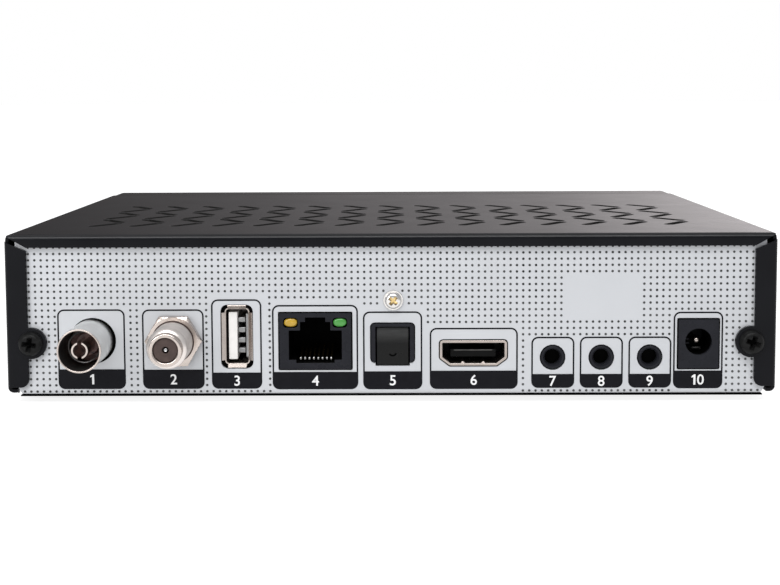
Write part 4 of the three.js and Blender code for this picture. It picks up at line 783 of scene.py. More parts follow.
# Faces that look down get black: painted shade.
print("faces left dark:", second_finish(chassis, "print_and_shade_black", lambda centre, normal: normal.z < -0.8))
strip_half, strip_deep, strip_thick = 82.3, 2.8, 0.2
strip_rear = panel_y - 0.3
strip_low = (-strip_half, strip_rear - strip_deep, base_z - strip_thick)
strip_high = (strip_half, strip_rear, base_z + 0.05)
# The strip is a painted shadow along the panel's foot.
piece("base_painted_shadow", [box_shell(strip_low, strip_high)], "deep_black")
print("chassis faces:", len(chassis.data.polygons))

# %% [markdown]
# The rear panel is printed: a frame round every socket, and a lattice of small dots between the frames.
# The ink is a few hundredths of a millimetre high, so it catches the light at its edges as real ink does.
# Each frame's place comes from its socket's CAD node and from its own reach to every side.

# %% The printed frames' places
ink = 0.03
frame_line = 0.35

# The node, the reach to the left and to the right, and above the base the low edge, the high edge
# and the bar's top.
ports = {
    "aerial": ("aerial_socket_shell", 7.5, 7.5, 1.46, 19.35, 5.9),
    "dish": ("dish_socket_nut", 7.1, 6.6, 1.46, 19.3, 5.8),
    "usb": ("usb_socket_shell", 5.65, 5.5, 1.47, 21.5, 5.1),
    "network": ("network_socket_housing", 9.55, 9.45, 1.3, 20.2, 5.2),
    "optical": ("optical_socket_housing", 6.55, 6.55, 1.26, 18.7, 5.3),
    "media": ("media_socket_shell", 9.65, 9.8, 1.3, 15.0, 5.4),
    "service": ("service_jack", 4.7, 4.8, 1.5, 12.95, 4.6),
    "sound": ("sound_and_picture_jack", 4.75, 4.75, 1.5, 12.95, 4.6),
    "remote": ("remote_eye_jack", 4.7, 4.75, 1.5, 12.95, 4.6),
    "power": ("power_jack_housing", 5.5, 5.4, 1.33, 18.45, 5.3),
}


def port_box(port):
    """A printed frame's sides: low x, high x, low z, high z and the bar's top, in millimetres."""
    node, towards_left, towards_right, low, high, bar = ports[port]
    x = middle(node)[0]
    return x - towards_right, x + towards_left, base_z + low, base_z + high, base_z + bar


print("frames:", len(ports))

# %% [markdown]
# A lattice needs no loop: whole rows and columns of places come from one grid of whole numbers.
# A mask then drops the dots that a frame, the panel's screw or the bare patch covers.

# %% The dots' places
dot_radius, dot_pitch, dot_gap = 0.29, 1.4, 0.15
first_column, first_row = 1.97, 20.65
patch_columns, patch_rows = (26, 37), (2, 8)
screw_clearance = 2.6

# The lattice's lowest row reaches a little further to both sides than the others.
columns, rows = np.meshgrid(np.arange(-59, 56), np.arange(-3, 20))
low_row = np.arange(-61, 57)
columns = np.concatenate([columns.ravel(), low_row])
rows = np.concatenate([rows.ravel(), np.full(len(low_row), 20)])
dot_x = -(columns + first_column) * dot_pitch
dot_z = (first_row - rows) * dot_pitch + base_z
in_patch_columns = (columns >= patch_columns[0]) & (columns <= patch_columns[1])
in_patch_rows = (rows >= patch_rows[0]) & (rows <= patch_rows[1])
kept = ~(in_patch_columns & in_patch_rows)
for port in ports:
    left, right, low, high, _ = port_box(port)
    margin = dot_radius + dot_gap
    beside = (dot_x > left - margin) & (dot_x < right + margin)
    kept &= ~(beside & (dot_z > low - margin) & (dot_z < high + margin))
screw_x, _, screw_z = middle("panel_screw")
kept &= np.hypot(dot_x - screw_x, dot_z - screw_z) > screw_clearance
print("dots:", int(kept.sum()))

# %% [markdown]
# Each dot is a thin disc with eight sides. The disc's eight points are added to every place at once,
# and the same goes for its faces, so all the dots together take only a few array sums.

# %% Dots
def discs(x, z, radius, low, high, sides=8):
    """Thin closed discs, all in one array: the outline of one disc is added to every place."""
    flat = circle(0, 0, radius, sides)
    ring = np.stack([x[:, None] + flat[:, 0], z[:, None] + flat[:, 1]], -1)
    levels = [np.full(ring.shape[:2], level) for level in (low, high)]
    points = np.stack([np.stack([ring[..., 0], level, ring[..., 1]], -1) for level in levels], 1)
    start = np.arange(len(x))[:, None] * 2 * sides
    around = np.arange(sides)
    after = (around + 1) % sides
    side_strip = np.stack([around, after, after + sides, around + sides], -1)
    caps = np.stack([around, around + sides])
    side_faces = (start[:, :, None] + side_strip[None]).reshape(-1, 4)
    cap_faces = (start[:, :, None] + caps[None]).reshape(-1, sides)
    return points.reshape(-1, 3), side_faces.tolist() + cap_faces.tolist()


dots = discs(dot_x[kept], dot_z[kept], dot_radius, panel_y - ink, panel_y + ink)
piece("panel_dots", [dots], "print_grey")
print("dot faces:", len(dots[1]))

# %% [markdown]
# Each socket has a printed frame: a thin dark line with round corners, and a black bar across its foot.
# Both are flat sheets of ink. The line is a rounded rectangle with a hole, and the bar lies a little
# higher than the line, so the two never share a face. The bar carries a number, which comes next.

# %% Frames and bars
frame_radius = 1.5
inner_radius = frame_radius - frame_line
lines, bars = [], []
for port in ports:
    left, right, low, high, bar = port_box(port)
    in_left, in_right, in_high = left + frame_line, right - frame_line, high - frame_line
    outer = rectangle(left, right, low, high, frame_radius)
    inner_top = [(in_right, in_high, inner_radius), (in_left, in_high, inner_radius)]
    inner = outline([(in_left, bar), (in_right, bar), *inner_top])
    lines += sheet(outer, [inner], panel_y - ink, panel_y + ink)
    bar_line = outline([(left, low, frame_radius), (right, low, frame_radius), (right, bar), (left, bar)])
    bars += sheet(bar_line, [], panel_y - ink, panel_y + 1.5 * ink)
piece("panel_frame_lines", lines, "print_and_shade_black")
piece("panel_frame_bars", bars, "print_and_shade_black")
print("frames drawn:", len(ports))

# %% [markdown]
# The sockets are numbered from the picture's left. The figures come from Blender's own font, made slightly
# bolder. Its figure one is a bare bar, which would read as a letter, so that one is drawn here: a stem
# with a flag.

# %% Figures
def figure_one():
    """The figure one, a unit high: a stem whose top leans out to the left in a flag."""
    return np.array([(0.0, 0.0), (0.2, 0.0), (0.2, 1.0), (0.05, 1.0), (-0.18, 0.82), (-0.18, 0.66), (0.0, 0.76)])


def figure(text):
    """A figure's flat face as points (across, up), a unit high, with its faces."""
    if text == "1":
        return figure_one(), triangles_of([figure_one()])
    curve = bpy.data.curves.new("figure", "FONT")
    curve.body, curve.fill_mode, curve.offset = text, "FRONT", 0.012
    made = bpy.data.objects.new("figure", curve)
    mesh = bpy.data.meshes.new_from_object(made)
    points = np.array([vert.co[:2] for vert in mesh.vertices])
    faces = [tuple(polygon.vertices) for polygon in mesh.polygons]
    bpy.data.objects.remove(made)
    return (points - points.min(0)) / (points.max(0) - points.min(0))[1], faces


print("the figure one has", len(figure_one()), "corners")

# %% [markdown]
# A flat figure becomes a thin solid: its face once in front and once behind, and a wall along the rim.
# The rim is made of the edges that only one face uses. Seen from behind the receiver, x runs to the
# left, so the figures are laid from high x to low x.

# %% Numbers
number_height, figure_gap = 2.3, 0.35


def rim_of(faces):
    """The edges that belong to one face only."""
    edges = {}
    for face in faces:
        for pair in zip(face, (*face[1:], face[0])):
            edges[frozenset(pair)] = edges.get(frozenset(pair), 0) + 1
    return [tuple(edge) for edge, count in edges.items() if count == 1]


def number_shells(text, x, z, low, high):
    """A number as thin solids, centred at x and z, readable from behind the receiver."""
    drawn = [figure(character) for character in text]
    widths = np.array([np.ptp(points[:, 0]) * number_height for points, _ in drawn])
    whole = widths.sum() + figure_gap * (len(text) - 1)
    lefts = np.concatenate([[0], np.cumsum(widths[:-1] + figure_gap)]) - whole / 2
    shells = []
    for (points, faces), left in zip(drawn, lefts):
        across = x - left - (points[:, 0] - points[:, 0].min()) * number_height
        flat = np.stack([across, z + (points[:, 1] - 0.5) * number_height], 1)
        sides = [(a, b, b + len(flat), a + len(flat)) for a, b in rim_of(faces)]
        back = [tuple(index + len(flat) for index in face) for face in faces]
        shells.append((np.concatenate([lay(flat, high), lay(flat, low)]), [*map(tuple, faces), *back, *sides]))
    return shells


numbers = []
for count, port in enumerate(ports, 1):
    left, right, low, _, bar = port_box(port)
    numbers += number_shells(str(count), (left + right) / 2, (low + bar) / 2, panel_y + ink, panel_y + 2 * ink)
piece("panel_numbers", numbers, "print_white")
print("numbers:", len(ports))

# %% [markdown]
# A screw's head has a cross in it, which a single grid of points can't hold. So the cross is a tapered
# plug of its own, and a boolean takes it out of the head, as the header's punch does in the factory.

# %% Cross recesses
def carve(made, shells):
    """Takes the closed shells out of a piece."""
    tool = bpy.data.objects.new("cutter", mesh_of("cutter", shells))
    bpy.context.collection.objects.link(tool)
    modifier = made.modifiers.new("recess", "BOOLEAN")
    modifier.object, modifier.operation, modifier.solver = tool, "DIFFERENCE", "EXACT"
    bpy.context.view_layer.update()
    mesh = bpy.data.meshes.new_from_object(made.evaluated_get(bpy.context.evaluated_depsgraph_get()))
    made.modifiers.clear()
    made.data = mesh
    bpy.data.objects.remove(tool)
    shade_smooth(mesh, 35)


def cross_plug(x, z, top, arm, width, depth, turn):
    """A cross that shrinks from a little above the head's top towards its floor."""
    a, w = arm, width / 2
    corner = np.array([(w, w), (w, a), (-w, a), (-w, w), (-a, w), (-a, -w), (-w, -w), (-w, -a), (w, -a), (w, -w),
                       (a, -w), (a, w)])
    c, s = np.cos(np.radians(turn)), np.sin(np.radians(turn))
    line = corner @ np.array([(c, s), (-s, c)])
    over, flare, floor_share = 0.4, 0.35, 0.55
    wide, narrow = line * (1 + over * flare) + (x, z), line * floor_share + (x, z)
    sides = np.concatenate([lay(wide, top + over), lay(narrow, top - depth)]), grid_faces(2, len(line))
    return [sides, cap([narrow], top - depth), cap([wide], top + over)]


print("a cross plug has", sum(len(faces) for _, faces in cross_plug(0, 0, 0, 1, 0.5, 1, 0)), "faces")

# %% [markdown]
# A pan head is a superellipse turned round its axis: from the rim the radius shrinks as a power of a
# cosine while the height grows as a sine, which gives a full round shoulder and a nearly flat crown.
# The panel's screw also has a collar, a thin washer that is part of its head.

# %% Screws
def head_profile(seat, radius, height, fullness=0.38, steps=14):
    """Radius R cos(t)^p and height H sin(t) for t from 0 to a right angle."""
    t = np.linspace(0, np.pi / 2, steps)
    return np.stack([seat + height * np.sin(t), radius * np.cos(t) ** fullness], 1)


def screw(node, finish_name, recess_painted_light, seat, radius, height, shank, turn, collar=None):
    """A cross-head screw on the place of its node. Its recess has a finish of its own: painted shade in the black
    screws and a painted reflection in the panel screw.
    """
    low = corners(node)[0]
    x, _, z = middle(node)
    head = head_profile(seat, radius, height)
    start = [(low[1], 0), (low[1], shank), (seat, shank)]
    if collar:
        reach, top = collar[0], seat + collar[1]
        start += [(seat, reach - 0.05), (seat + 0.05, reach), (top, reach - 0.1), (top, radius)]
        head[:, 0] = np.maximum(head[:, 0], top)
    made = piece(node + "_finished", [turned(np.concatenate([start, head]), (x, 0, z))], finish_name, node)
    recess_depth = 0.8 * height
    carve(made, cross_plug(x, z, seat + height, 0.60 * radius, 0.42 * radius, recess_depth, turn))

    def in_recess(centre, normal):
        near_axis = math.hypot(centre[0] - x, centre[2] - z) < 0.75 * radius
        return seat < centre[1] < seat + recess_depth and near_axis

    print(node, "recess faces:", second_finish(made, recess_painted_light, in_recess))


# The cover screws' recesses are deep black as painted shade, and the panel screw's is gold as a painted
# reflection.
screw("cover_screw_left", "black_screw", "deep_black", cover_high[1], 2.72, 1.8, 1.4, 18)
screw("cover_screw_right", "black_screw", "deep_black", cover_high[1], 2.72, 1.8, 1.4, 8)
screw("panel_screw", "bright_screw", "gold_plate", panel_y, 1.9, 1.4, 1.2, 40, (2.25, 0.3))

# %% [markdown]
# The aerial socket is a plain push-on barrel. Two cylinders and a boolean could make it, but one turned
# profile gives a cleaner rim: out along the outside, round the mouth, and back down the bore.
# A dark ring fills the panel's hole round the barrel as painted shade, and a thin pale edge covers most of it,
# so that the painted shade shows only as a crescent at one side.

# %% Aerial barrel
barrel_radius, barrel_bore, hole_shade_radius = 4.75, 4.35, 5.5
aerial_x, aerial_rise, mouth_round, mouth_depth = 66.2, 5.3, 0.18, 0.3
aerial_low, aerial_high = corners("aerial_socket_shell")
aerial = (aerial_x, 0, aerial_low[2] + aerial_rise)
aerial_back, mouth = aerial_low[1], aerial_high[1]
mouth_corners = [(mouth, barrel_radius, mouth_round), (mouth, barrel_bore, mouth_round)]
barrel_line = outline([(aerial_back, barrel_bore), (aerial_back, barrel_radius), *mouth_corners], 5)
barrel = [turned(barrel_line, aerial, sides=96, ring=True)]
aerial_barrel = piece("aerial_socket_barrel", barrel, "satin_nickel", "aerial_socket_shell")


def in_aerial_bore(centre, normal):
    """A face of the bore, behind the mouth's round."""
    from_axis = math.hypot(centre[0] - aerial[0], centre[2] - aerial[2])
    return centre[1] < mouth - mouth_depth and from_axis < barrel_bore + 0.1


def on_aerial_mouth(centre, normal):
    """A face of the mouth's round that looks out of the socket."""
    return centre[1] > mouth - mouth_depth and normal.y > 0.3


# The bore gets a dark nickel: painted shade inside the barrel.
second_finish(aerial_barrel, "bore_nickel", in_aerial_bore)
# The mouth's round gets a darker, warmer nickel than the barrel, which dims its highlight: painted shade.
second_finish(aerial_barrel, "warm_nickel", on_aerial_mouth)
# A dark ring in the panel's hole round the barrel: painted shade.
hole_shade = [(panel_y - 1.0, barrel_radius - 0.02), (panel_y - 1.0, hole_shade_radius), (panel_y - 0.35, hole_shade_radius),
          (panel_y - 0.35, barrel_radius - 0.02)]
piece("aerial_socket_hole_shade", [turned(hole_shade, aerial, sides=96, ring=True)], "deep_black")
edge_radius, hole_radius, hole_shift = 5.6, 5.13, 0.33
edge_outside = circle(aerial[0], aerial[2], edge_radius, 96)
edge_inside = circle(aerial[0] - hole_shift, aerial[2], hole_radius, 96)
edge = sheet(edge_outside, [edge_inside], panel_y - 0.2, panel_y + 0.02)
piece("aerial_socket_edge", edge, "panel_paint")
print("aerial barrel made")

# %% [markdown]
# Deep in the bore sits a brown insulator, a turned plug with a nose, and round it a thin metal rim.
# The contact in its middle is a tube that is slit in two. Cutting a tube would leave ragged edges,
# so it is drawn as two bent strips, which stand on one short solid root.

# %% Aerial insulator and contact
rim = [(mouth - 5.4, 3.25), (mouth - 4.8, 3.25), (mouth - 4.7, 3.4), (mouth - 4.8, 3.55), (mouth - 5.4, 3.55)]
piece("aerial_socket_rim", [turned(rim, aerial, sides=72, ring=True)], "dull_contact")
disc_back, disc_front = (corner[1] for corner in corners("aerial_socket_insulator"))
plug = [(disc_back, 0), (disc_back, 4.14), (disc_back + 2.8, 4.14), (disc_back + 3.0, 3.95),
        (disc_back + 3.0, 2.75), (disc_front - 0.2, 2.6), (disc_front, 2.4), (disc_front, 0)]
piece("aerial_socket_core", [turned(plug, aerial, sides=72)], "brown_depth", "aerial_socket_insulator")


def half_tube(side, outer, inner, slit, sides=24):
    """One half of a slit tube: an arc out and an arc back, with the slit's half width left free."""
    arcs = []
    for radius, way in ((outer, 1), (inner, -1)):
        start = np.arcsin(slit / radius)
        turn = np.linspace(start, np.pi - start, sides)[::way]
        arcs.append(np.stack([radius * np.sin(turn) * side, radius * np.cos(turn)], 1))
    return np.concatenate(arcs)


contact_outer, contact_inner, contact_slit, root_length = 1.78, 1.4, 0.48, 4.5
contact_back, contact_front = (corner[1] for corner in corners("aerial_socket_contact"))
contact = []
for side in (-1, 1):
    strip_line = half_tube(side, contact_outer, contact_inner, contact_slit) + (aerial[0], aerial[2])
    contact += sheet(strip_line, [], contact_back + 4, contact_front)
root_front = contact_back + root_length
root = [(contact_back, 0), (contact_back, contact_outer), (root_front, contact_outer), (root_front, 0)]
contact.append(turned(root, aerial, sides=48))
soften(piece("aerial_socket_fingers", contact, "warm_nickel", "aerial_socket_contact"), 0.07)
print("aerial contact made")

# %% [markdown]
# The dish socket is a threaded barrel with a hexagon nut. A thread is a radius that changes with both
# height and angle: the groove climbs one pitch in a turn, so at angle t it sits t/360 of a pitch higher.
# In front of the thread the barrel narrows to a smooth nose, and its rim rolls over into the bore.

# %% Dish barrel
thread_pitch, thread_depth, thread_radius = 0.794, 0.28, 4.45
dish_x, dish_sides = 47.8, 96
dish_low, dish_high = corners("dish_socket_body")
dish = (dish_x, 0, (dish_low[2] + dish_high[2]) / 2)
dish_angle = np.linspace(0, 2 * np.pi, dish_sides, endpoint=False)
dish_mouth, bore_floor = dish_high[1], 61.2
nose_start = dish_mouth - 1.6
shoulder_start = nose_start - 0.9
thread_along = np.linspace(dish_low[1], shoulder_start, 110)
phase = (thread_along[:, None] - thread_along[0]) / thread_pitch - dish_angle / (2 * np.pi)
groove = 2 * np.abs(phase - np.floor(phase) - 0.5)
fade = np.clip((shoulder_start - thread_along) / thread_pitch, 0, 1)[:, None]
threads = thread_radius - thread_depth * groove * fade
nose_line = np.array([
    (shoulder_start + 0.35, thread_radius - 0.1), (shoulder_start + 0.75, 3.85), (nose_start, 3.64),
    (dish_mouth - 0.35, 3.62), (dish_mouth - 0.17, 3.56), (dish_mouth - 0.05, 3.42), (dish_mouth, 3.25),
    (dish_mouth, 3.0), (dish_mouth - 0.06, 2.83), (dish_mouth - 0.2, 2.72), (bore_floor, 2.7), (bore_floor, 0.0),
])
nose = np.repeat(nose_line[:, 1:], dish_sides, 1)
dish_body = swept(np.concatenate([thread_along, nose_line[:, 0]]), np.concatenate([threads, nose]), dish)
dish_back = turned([(dish_low[1], 0), (dish_low[1], thread_radius - thread_depth / 2)], dish, sides=dish_sides)
dish_barrel = piece("dish_socket_barrel", [dish_body, dish_back], "pale_nickel", "dish_socket_body", angle=50)
# The nose gets a darker, warmer nickel than the thread, which dims its highlight: painted shade.
nose_faces = second_finish(dish_barrel, "warm_nickel", lambda centre, normal: centre[1] > nose_start)
print("dish barrel made, nose faces:", nose_faces)

# %% [markdown]
# Inside the nose sits a brown insulator with a small hole, and in the hole a ring of spring contact.
# The nut is the smaller of two radii at each point: the hexagon, and the cone that chamfers its corners.

# %% Dish insulator and nut
core_back, core_face = (corner[1] for corner in corners("dish_socket_insulator"))
core = [(core_back, 0), (core_back, 2.6), (core_face - 0.1, 2.6), (core_face, 2.5), (core_face, 0.85),
        (core_face - 0.15, 0.72), (core_face - 2.6, 0.72), (core_face - 2.6, 0)]
piece("dish_socket_core", [turned(core, dish, sides=48)], "brown_insulator", "dish_socket_insulator")
spring = [(core_face - 2.7, 0.12), (core_face - 2.7, 0.42), (core_face - 0.35, 0.42), (core_face - 0.25, 0.3),
          (core_face - 0.35, 0.12)]
piece("dish_socket_spring", [turned(spring, dish, sides=24, ring=True)], "tinned_steel")

nut_back, nut_front = (corner[1] for corner in corners("dish_socket_nut"))
half_flats, cone_slope = 5.5, 1.9
hexagon = half_flats / np.cos((dish_angle - np.pi / 2 + np.pi / 6) % (np.pi / 3) - np.pi / 6)
levels = np.array([nut_front, nut_front, nut_front - 0.12, nut_front - 0.3, nut_front - 0.5,
                   nut_back + 0.5, nut_back + 0.3, nut_back + 0.12, nut_back, nut_back])
depth = np.minimum(nut_front - levels, levels - nut_back)[:, None]
nut = np.minimum(hexagon, half_flats - 0.05 + depth * cone_slope)
nut[0] = nut[-1] = thread_radius - 0.02
piece("dish_socket_hexagon", [swept(levels, nut, dish, ring=True)], "warm_nickel", "dish_socket_nut", angle=25)
# The brown ring in front of the nut is painted shade in the gap round the barrel.
shade_ring = [(nut_front - 0.3, thread_radius - 0.1), (nut_front - 0.3, 4.72), (nut_front + 0.03, 4.72),
              (nut_front + 0.03, thread_radius - 0.1)]
piece("dish_socket_shade", [turned(shade_ring, dish, sides=dish_sides, ring=True)], "brown_insulator")
print("dish socket made")

# %% [markdown]
# The USB socket's shell is bent from one strip: a tube with round corners, and at its mouth four lips
# that flare outwards to guide the plug. Between the lips the corners are open, and black shows there.
# Each lip is a slab, because its eight corners are known from the tube and from the mouth.

# %% USB shell
usb_low, usb_high = corners("usb_socket_shell")
usb_x, _, usb_z = middle("usb_socket_shell")
usb_back, usb_face = usb_low[1], usb_high[1]
half_x, half_z = (usb_high[0] - usb_low[0]) / 2, (usb_high[2] - usb_low[2]) / 2
lip, gauge, lip_depth = 0.82, 0.28, 0.75
tube_x, tube_z = half_x - lip + 0.1, half_z - lip + 0.1


def round_usb(wide, high, radius):
    """A rounded rectangle about the USB socket's middle, from its half width and half height."""
    return rectangle(usb_x - wide, usb_x + wide, usb_z - high, usb_z + high, radius)


def lip_slab(side, half_length, upright):
    """One flared lip: from the tube's mouth outwards and forwards."""
    reach, root = (half_x, tube_x - gauge) if upright else (half_z, tube_z - gauge)
    deep = usb_face - lip_depth
    line = [(root, deep), (root + gauge, deep - 0.1), (reach, usb_face - 0.12), (reach - 0.16, usb_face)]
    ends = []
    for end in (-half_length, half_length):
        for out, y in line:
            ends.append((usb_x + side * out, y, usb_z + end) if upright else (usb_x + end, y, usb_z + side * out))
    return slab(ends)


tube_inside = round_usb(tube_x - gauge, tube_z - gauge, 0.65)
usb_tube = sheet(round_usb(tube_x, tube_z, 0.9), [tube_inside], usb_back, usb_face - lip_depth + 0.05)
lips = [lip_slab(side, 5.35, True) for side in (-1, 1)] + [lip_slab(side, 2.05, False) for side in (-1, 1)]
soften(piece("usb_socket_mouth", usb_tube + lips, "shell_nickel", "usb_socket_shell"), 0.06)
print("USB shell made")

# %% [markdown]
# The shell's rear is closed by a dark plate, and a thin dark sheet stands in the panel's cut-out round it as
# painted shade.
# The white tongue carries four contacts, and a spring plate lies under it. All are softened boxes.

# %% USB tongue and contacts
usb_rear = box_shell((usb_x - tube_x, usb_back, usb_z - tube_z), (usb_x + tube_x, usb_back + 0.3, usb_z + tube_z))
piece("usb_socket_back", [usb_rear], "deep_black")
usb_shade = sheet(round_usb(half_x + 0.12, half_z + 0.12, 1.45), [round_usb(tube_x, tube_z, 0.9)],
                  panel_y - 1.2, panel_y - 0.72)
soften(piece("usb_socket_shade", usb_shade, "deep_black"), 0.05, 1)


def usb_box(left, right, half_tall, back, front, up=0.0):
    """A box in the USB socket: its sides from the middle, and its two depths."""
    return box_shell((usb_x + left, back, usb_z + up - half_tall), (usb_x + right, front, usb_z + up + half_tall))


blade = [usb_box(0, 1.95, 5.3, usb_back + 0.2, usb_face - 1.2),
         usb_box(-2.2, 1.9, 5.3, usb_back + 0.2, usb_back + 3.6)]
soften(piece("usb_socket_blade", blade, "white_insulator", "usb_socket_tongue"), 0.18, 3)
fingers = [usb_box(-1.75, 0.05, 0.6, usb_back + 3.5, usb_face - 2.1, up) for up in (-3.45, -1.15, 1.15, 3.45)]
soften(piece("usb_socket_fingers", fingers, "dull_contact"), 0.2)
spring_plate = [usb_box(-2.45, -1.85, 4.9, usb_back + 0.4, usb_face - 1.7)]
soften(piece("usb_socket_plate", spring_plate, "dull_contact"), 0.1)
print("USB socket made, contacts:", len(fingers))

# %% [markdown]
# Three shapes come back in the sockets that follow. A ribbon is a narrow strip carried along a bent path,
# for wires and leaf springs. A pillow is a low block with a domed front, for lamps, pressed bumps and a painted
# highlight.
# A gap shade is a thin black frame between a socket block and the panel: painted shade in the gap round the
# block.

# %% Ribbons, pillows and gap shades
def ribbon(path, x, width, thick):
    """A strip of metal along a path of (y, z) points: each point is moved half the thickness to both sides."""
    path = np.asarray(path, float)
    way = np.gradient(path, axis=0)
    way /= np.linalg.norm(way, axis=1)[:, None]
    side = np.stack([-way[:, 1], way[:, 0]], 1) * thick / 2
    left, right = x - width / 2, x + width / 2
    ring = [(left, path + side), (right, path + side), (right, path - side), (left, path - side)]
    points = np.stack([np.column_stack([np.full(len(path), place), line]) for place, line in ring], 1)
    faces = grid_faces(len(path), 4).tolist()
    last = (len(path) - 1) * 4
    return points.reshape(-1, 3), faces + [(0, 1, 2, 3), (last, last + 1, last + 2, last + 3)]


def pillow(x, z, half_wide, half_high, back, face, rise, square=2.25, sides=40, rings=7):
    """A superellipse block whose front is domed: at share t the rim is cos t wide and sin t forward."""
    turn = np.linspace(0, 2 * np.pi, sides, endpoint=False)
    across = half_wide * np.sign(np.cos(turn)) * np.abs(np.cos(turn)) ** (2 / square)
    up = half_high * np.sign(np.sin(turn)) * np.abs(np.sin(turn)) ** (2 / square)
    t = np.linspace(0, np.pi / 2, rings)
    width = np.concatenate([[0, 1], np.cos(t) ** 0.7])
    y = np.concatenate([[back, back], face - rise + rise * np.sin(t)])
    points = np.stack([x + width[:, None] * across, np.repeat(y[:, None], sides, 1), z + width[:, None] * up], -1)
    return points.reshape(-1, 3), grid_faces(len(width), sides)


def seal(node, margin=0.28):
    """A thin black frame round a socket block, a little in front of the panel: painted shade in the gap."""
    low, high = corners(node)
    outer = rectangle(low[0] - margin, high[0] + margin, low[2] - margin, high[2] + margin, 0.5)
    inner = rectangle(low[0] + 0.05, high[0] - 0.05, low[2] + 0.05, high[2] - 0.05, 0.1)
    return sheet(outer, [inner], panel_y - 0.1, panel_y + 0.06)


print("a lamp's dome has", len(pillow(0, 0, 1, 1, 0, 1, 0.5)[1]), "faces")

# %% [markdown]
# The network socket keeps its moulded CAD block, because the stepped mouth for the plug's latch is
# there already. The walls inside the mouth get a deeper black, as little light finds its way in.
# New are the painted gap shade, the eight bent wires with their tinned tips, and two domed lamps.

# %% Network socket
skin = 0.3
housing_low, housing_high = corners("network_socket_housing")


def in_network_mouth(centre, normal):
    """A face inside the block: behind its front and inside its sides."""
    return all(housing_low[axis] + skin < centre[axis] < housing_high[axis] - skin for axis in range(3))


housing = softened("network_socket_housing", "socket_plastic", 0.14)
print("dark faces in the mouth:", second_finish(housing, "deep_black", in_network_mouth))
piece("network_socket_gap_shade", seal("network_socket_housing"), "deep_black")
wire_pitch, wire_width, wire_thick = 0.97, 0.4, 0.2
wire_x = middle("network_socket_housing")[0] + (np.arange(8) - 3.5) * wire_pitch
wire_low, wire_high = corners("network_socket_contacts")
wire_back, wire_top = wire_low[1], wire_high[2]
wire_path = [(wire_back, wire_top - 0.2), (44.5, wire_top - 0.25), (46.5, wire_top - 0.5), (49.0, 10.2),
             (51.2, 9.55), (51.9, 9.45), (52.1, 9.7)]
wires = [ribbon(wire_path, x, wire_width, wire_thick) for x in wire_x]
piece("network_socket_wires", wires, "gold_plate", "network_socket_contacts")
tips = [box_shell((x - 0.22, 51.6, 9.35), (x + 0.22, 52.15, 9.95)) for x in wire_x]
soften(piece("network_socket_tips", tips, "tinned_steel"), 0.12)
for colour in ("amber", "green"):
    node = "network_lamp_" + colour
    low, high = corners(node)
    (x, _, z), (wide, _, tall) = middle(node), (high - low) / 2
    piece(node + "_dome", [pillow(x, z, wide, tall, low[1], high[1], 0.55)], colour + "_lens", node)
print("network socket made, wires:", len(wires))

# %% [markdown]
# The optical socket hides behind a spring shutter that swings inwards. Near its hinge the shutter's face
# bends back, and the light band on its upper part is a painted highlight in its finish. It is a profile in height
# and depth, drawn out sideways.
# A small black crescent near its foot is the painted shade of a dimple.

# %% Optical socket
def drawn_out(profile, left, right):
    """A profile of (y, z) points drawn out along x, with both ends closed."""
    ends = [np.column_stack([np.full(len(profile), x), profile]) for x in (left, right)]
    triangles = triangles_of([profile])
    other = [tuple(i + len(profile) for i in face) for face in triangles]
    return np.concatenate(ends), [*map(tuple, triangles), *other, *grid_faces(2, len(profile)).tolist()]


softened("optical_socket_housing", "socket_plastic", 0.16)
flap_half, bend_radius, bend_turn, bend_steps = 3.5, 5.0, 22, 14
shut_low, shut_high = corners("optical_socket_shutter")
shut_x = middle("optical_socket_shutter")[0]
shut_face, shut_top = shut_high[1] - 0.02, shut_high[2] - 0.02
lean = np.radians(np.linspace(0, bend_turn, bend_steps))
bow_z = shut_top - bend_radius * np.sin(lean[-1]) + bend_radius * np.sin(lean)
bow_y = shut_face - bend_radius * (1 - np.cos(lean))
flap_line = np.concatenate([
    [(shut_high[1] - 0.04, shut_low[2])],
    np.stack([bow_y, bow_z], 1),
    [(shut_low[1], shut_top), (shut_low[1], shut_low[2])],
])
flap_shell = drawn_out(flap_line, shut_x - flap_half, shut_x + flap_half)
soften(piece("optical_socket_flap", [flap_shell], "flap_plastic", "optical_socket_shutter"), 0.08)

# The crescent is painted shade: a black mark nearly flush with the flap.
dimple_shade_rise, dimple_shade_turn = 2.9, np.radians(np.linspace(200, 330, 16))
dimple_shade_arc = np.stack([np.cos(dimple_shade_turn), np.sin(dimple_shade_turn)], 1)
dimple_shade_line = np.concatenate([1.0 * dimple_shade_arc, 0.62 * dimple_shade_arc[::-1]]) + (shut_x, shut_low[2] + dimple_shade_rise)
dimple_shade = sheet(dimple_shade_line, [], shut_high[1] - 0.25, shut_face)
soften(piece("optical_socket_dimple_shade", dimple_shade, "deep_black", body="shutter"), 0.05, 1)
print("optical socket made")

# %% [markdown]
# The multimedia socket has a stamped shell with slanted lower corners and a thin tongue. Both are right
# in CAD and only softened. Two small bumps are pressed into the shell's floor, where they grip the plug,
# and a pale line along the tongue's upper front edge is a painted highlight. The black gap shade, painted shade
# round the shell, follows the shell's line twice.

# %% Multimedia socket
softened("media_socket_shell", "shell_nickel", 0.1)
media_low, media_high = corners("media_socket_shell")
media_x, media_face = middle("media_socket_shell")[0], media_high[1]


def media_line(margin, top, top_radius, knee, foot_half, foot, foot_radius):
    """The shell's outline: square above, and below its knees slanting in to a narrower foot."""
    left, right = media_low[0] - margin, media_high[0] + margin
    return outline([(left, top, top_radius), (right, top, top_radius), (right, knee, foot_radius),
                    (media_x + foot_half, foot, foot_radius), (media_x - foot_half, foot, foot_radius),
                    (left, knee, foot_radius)])


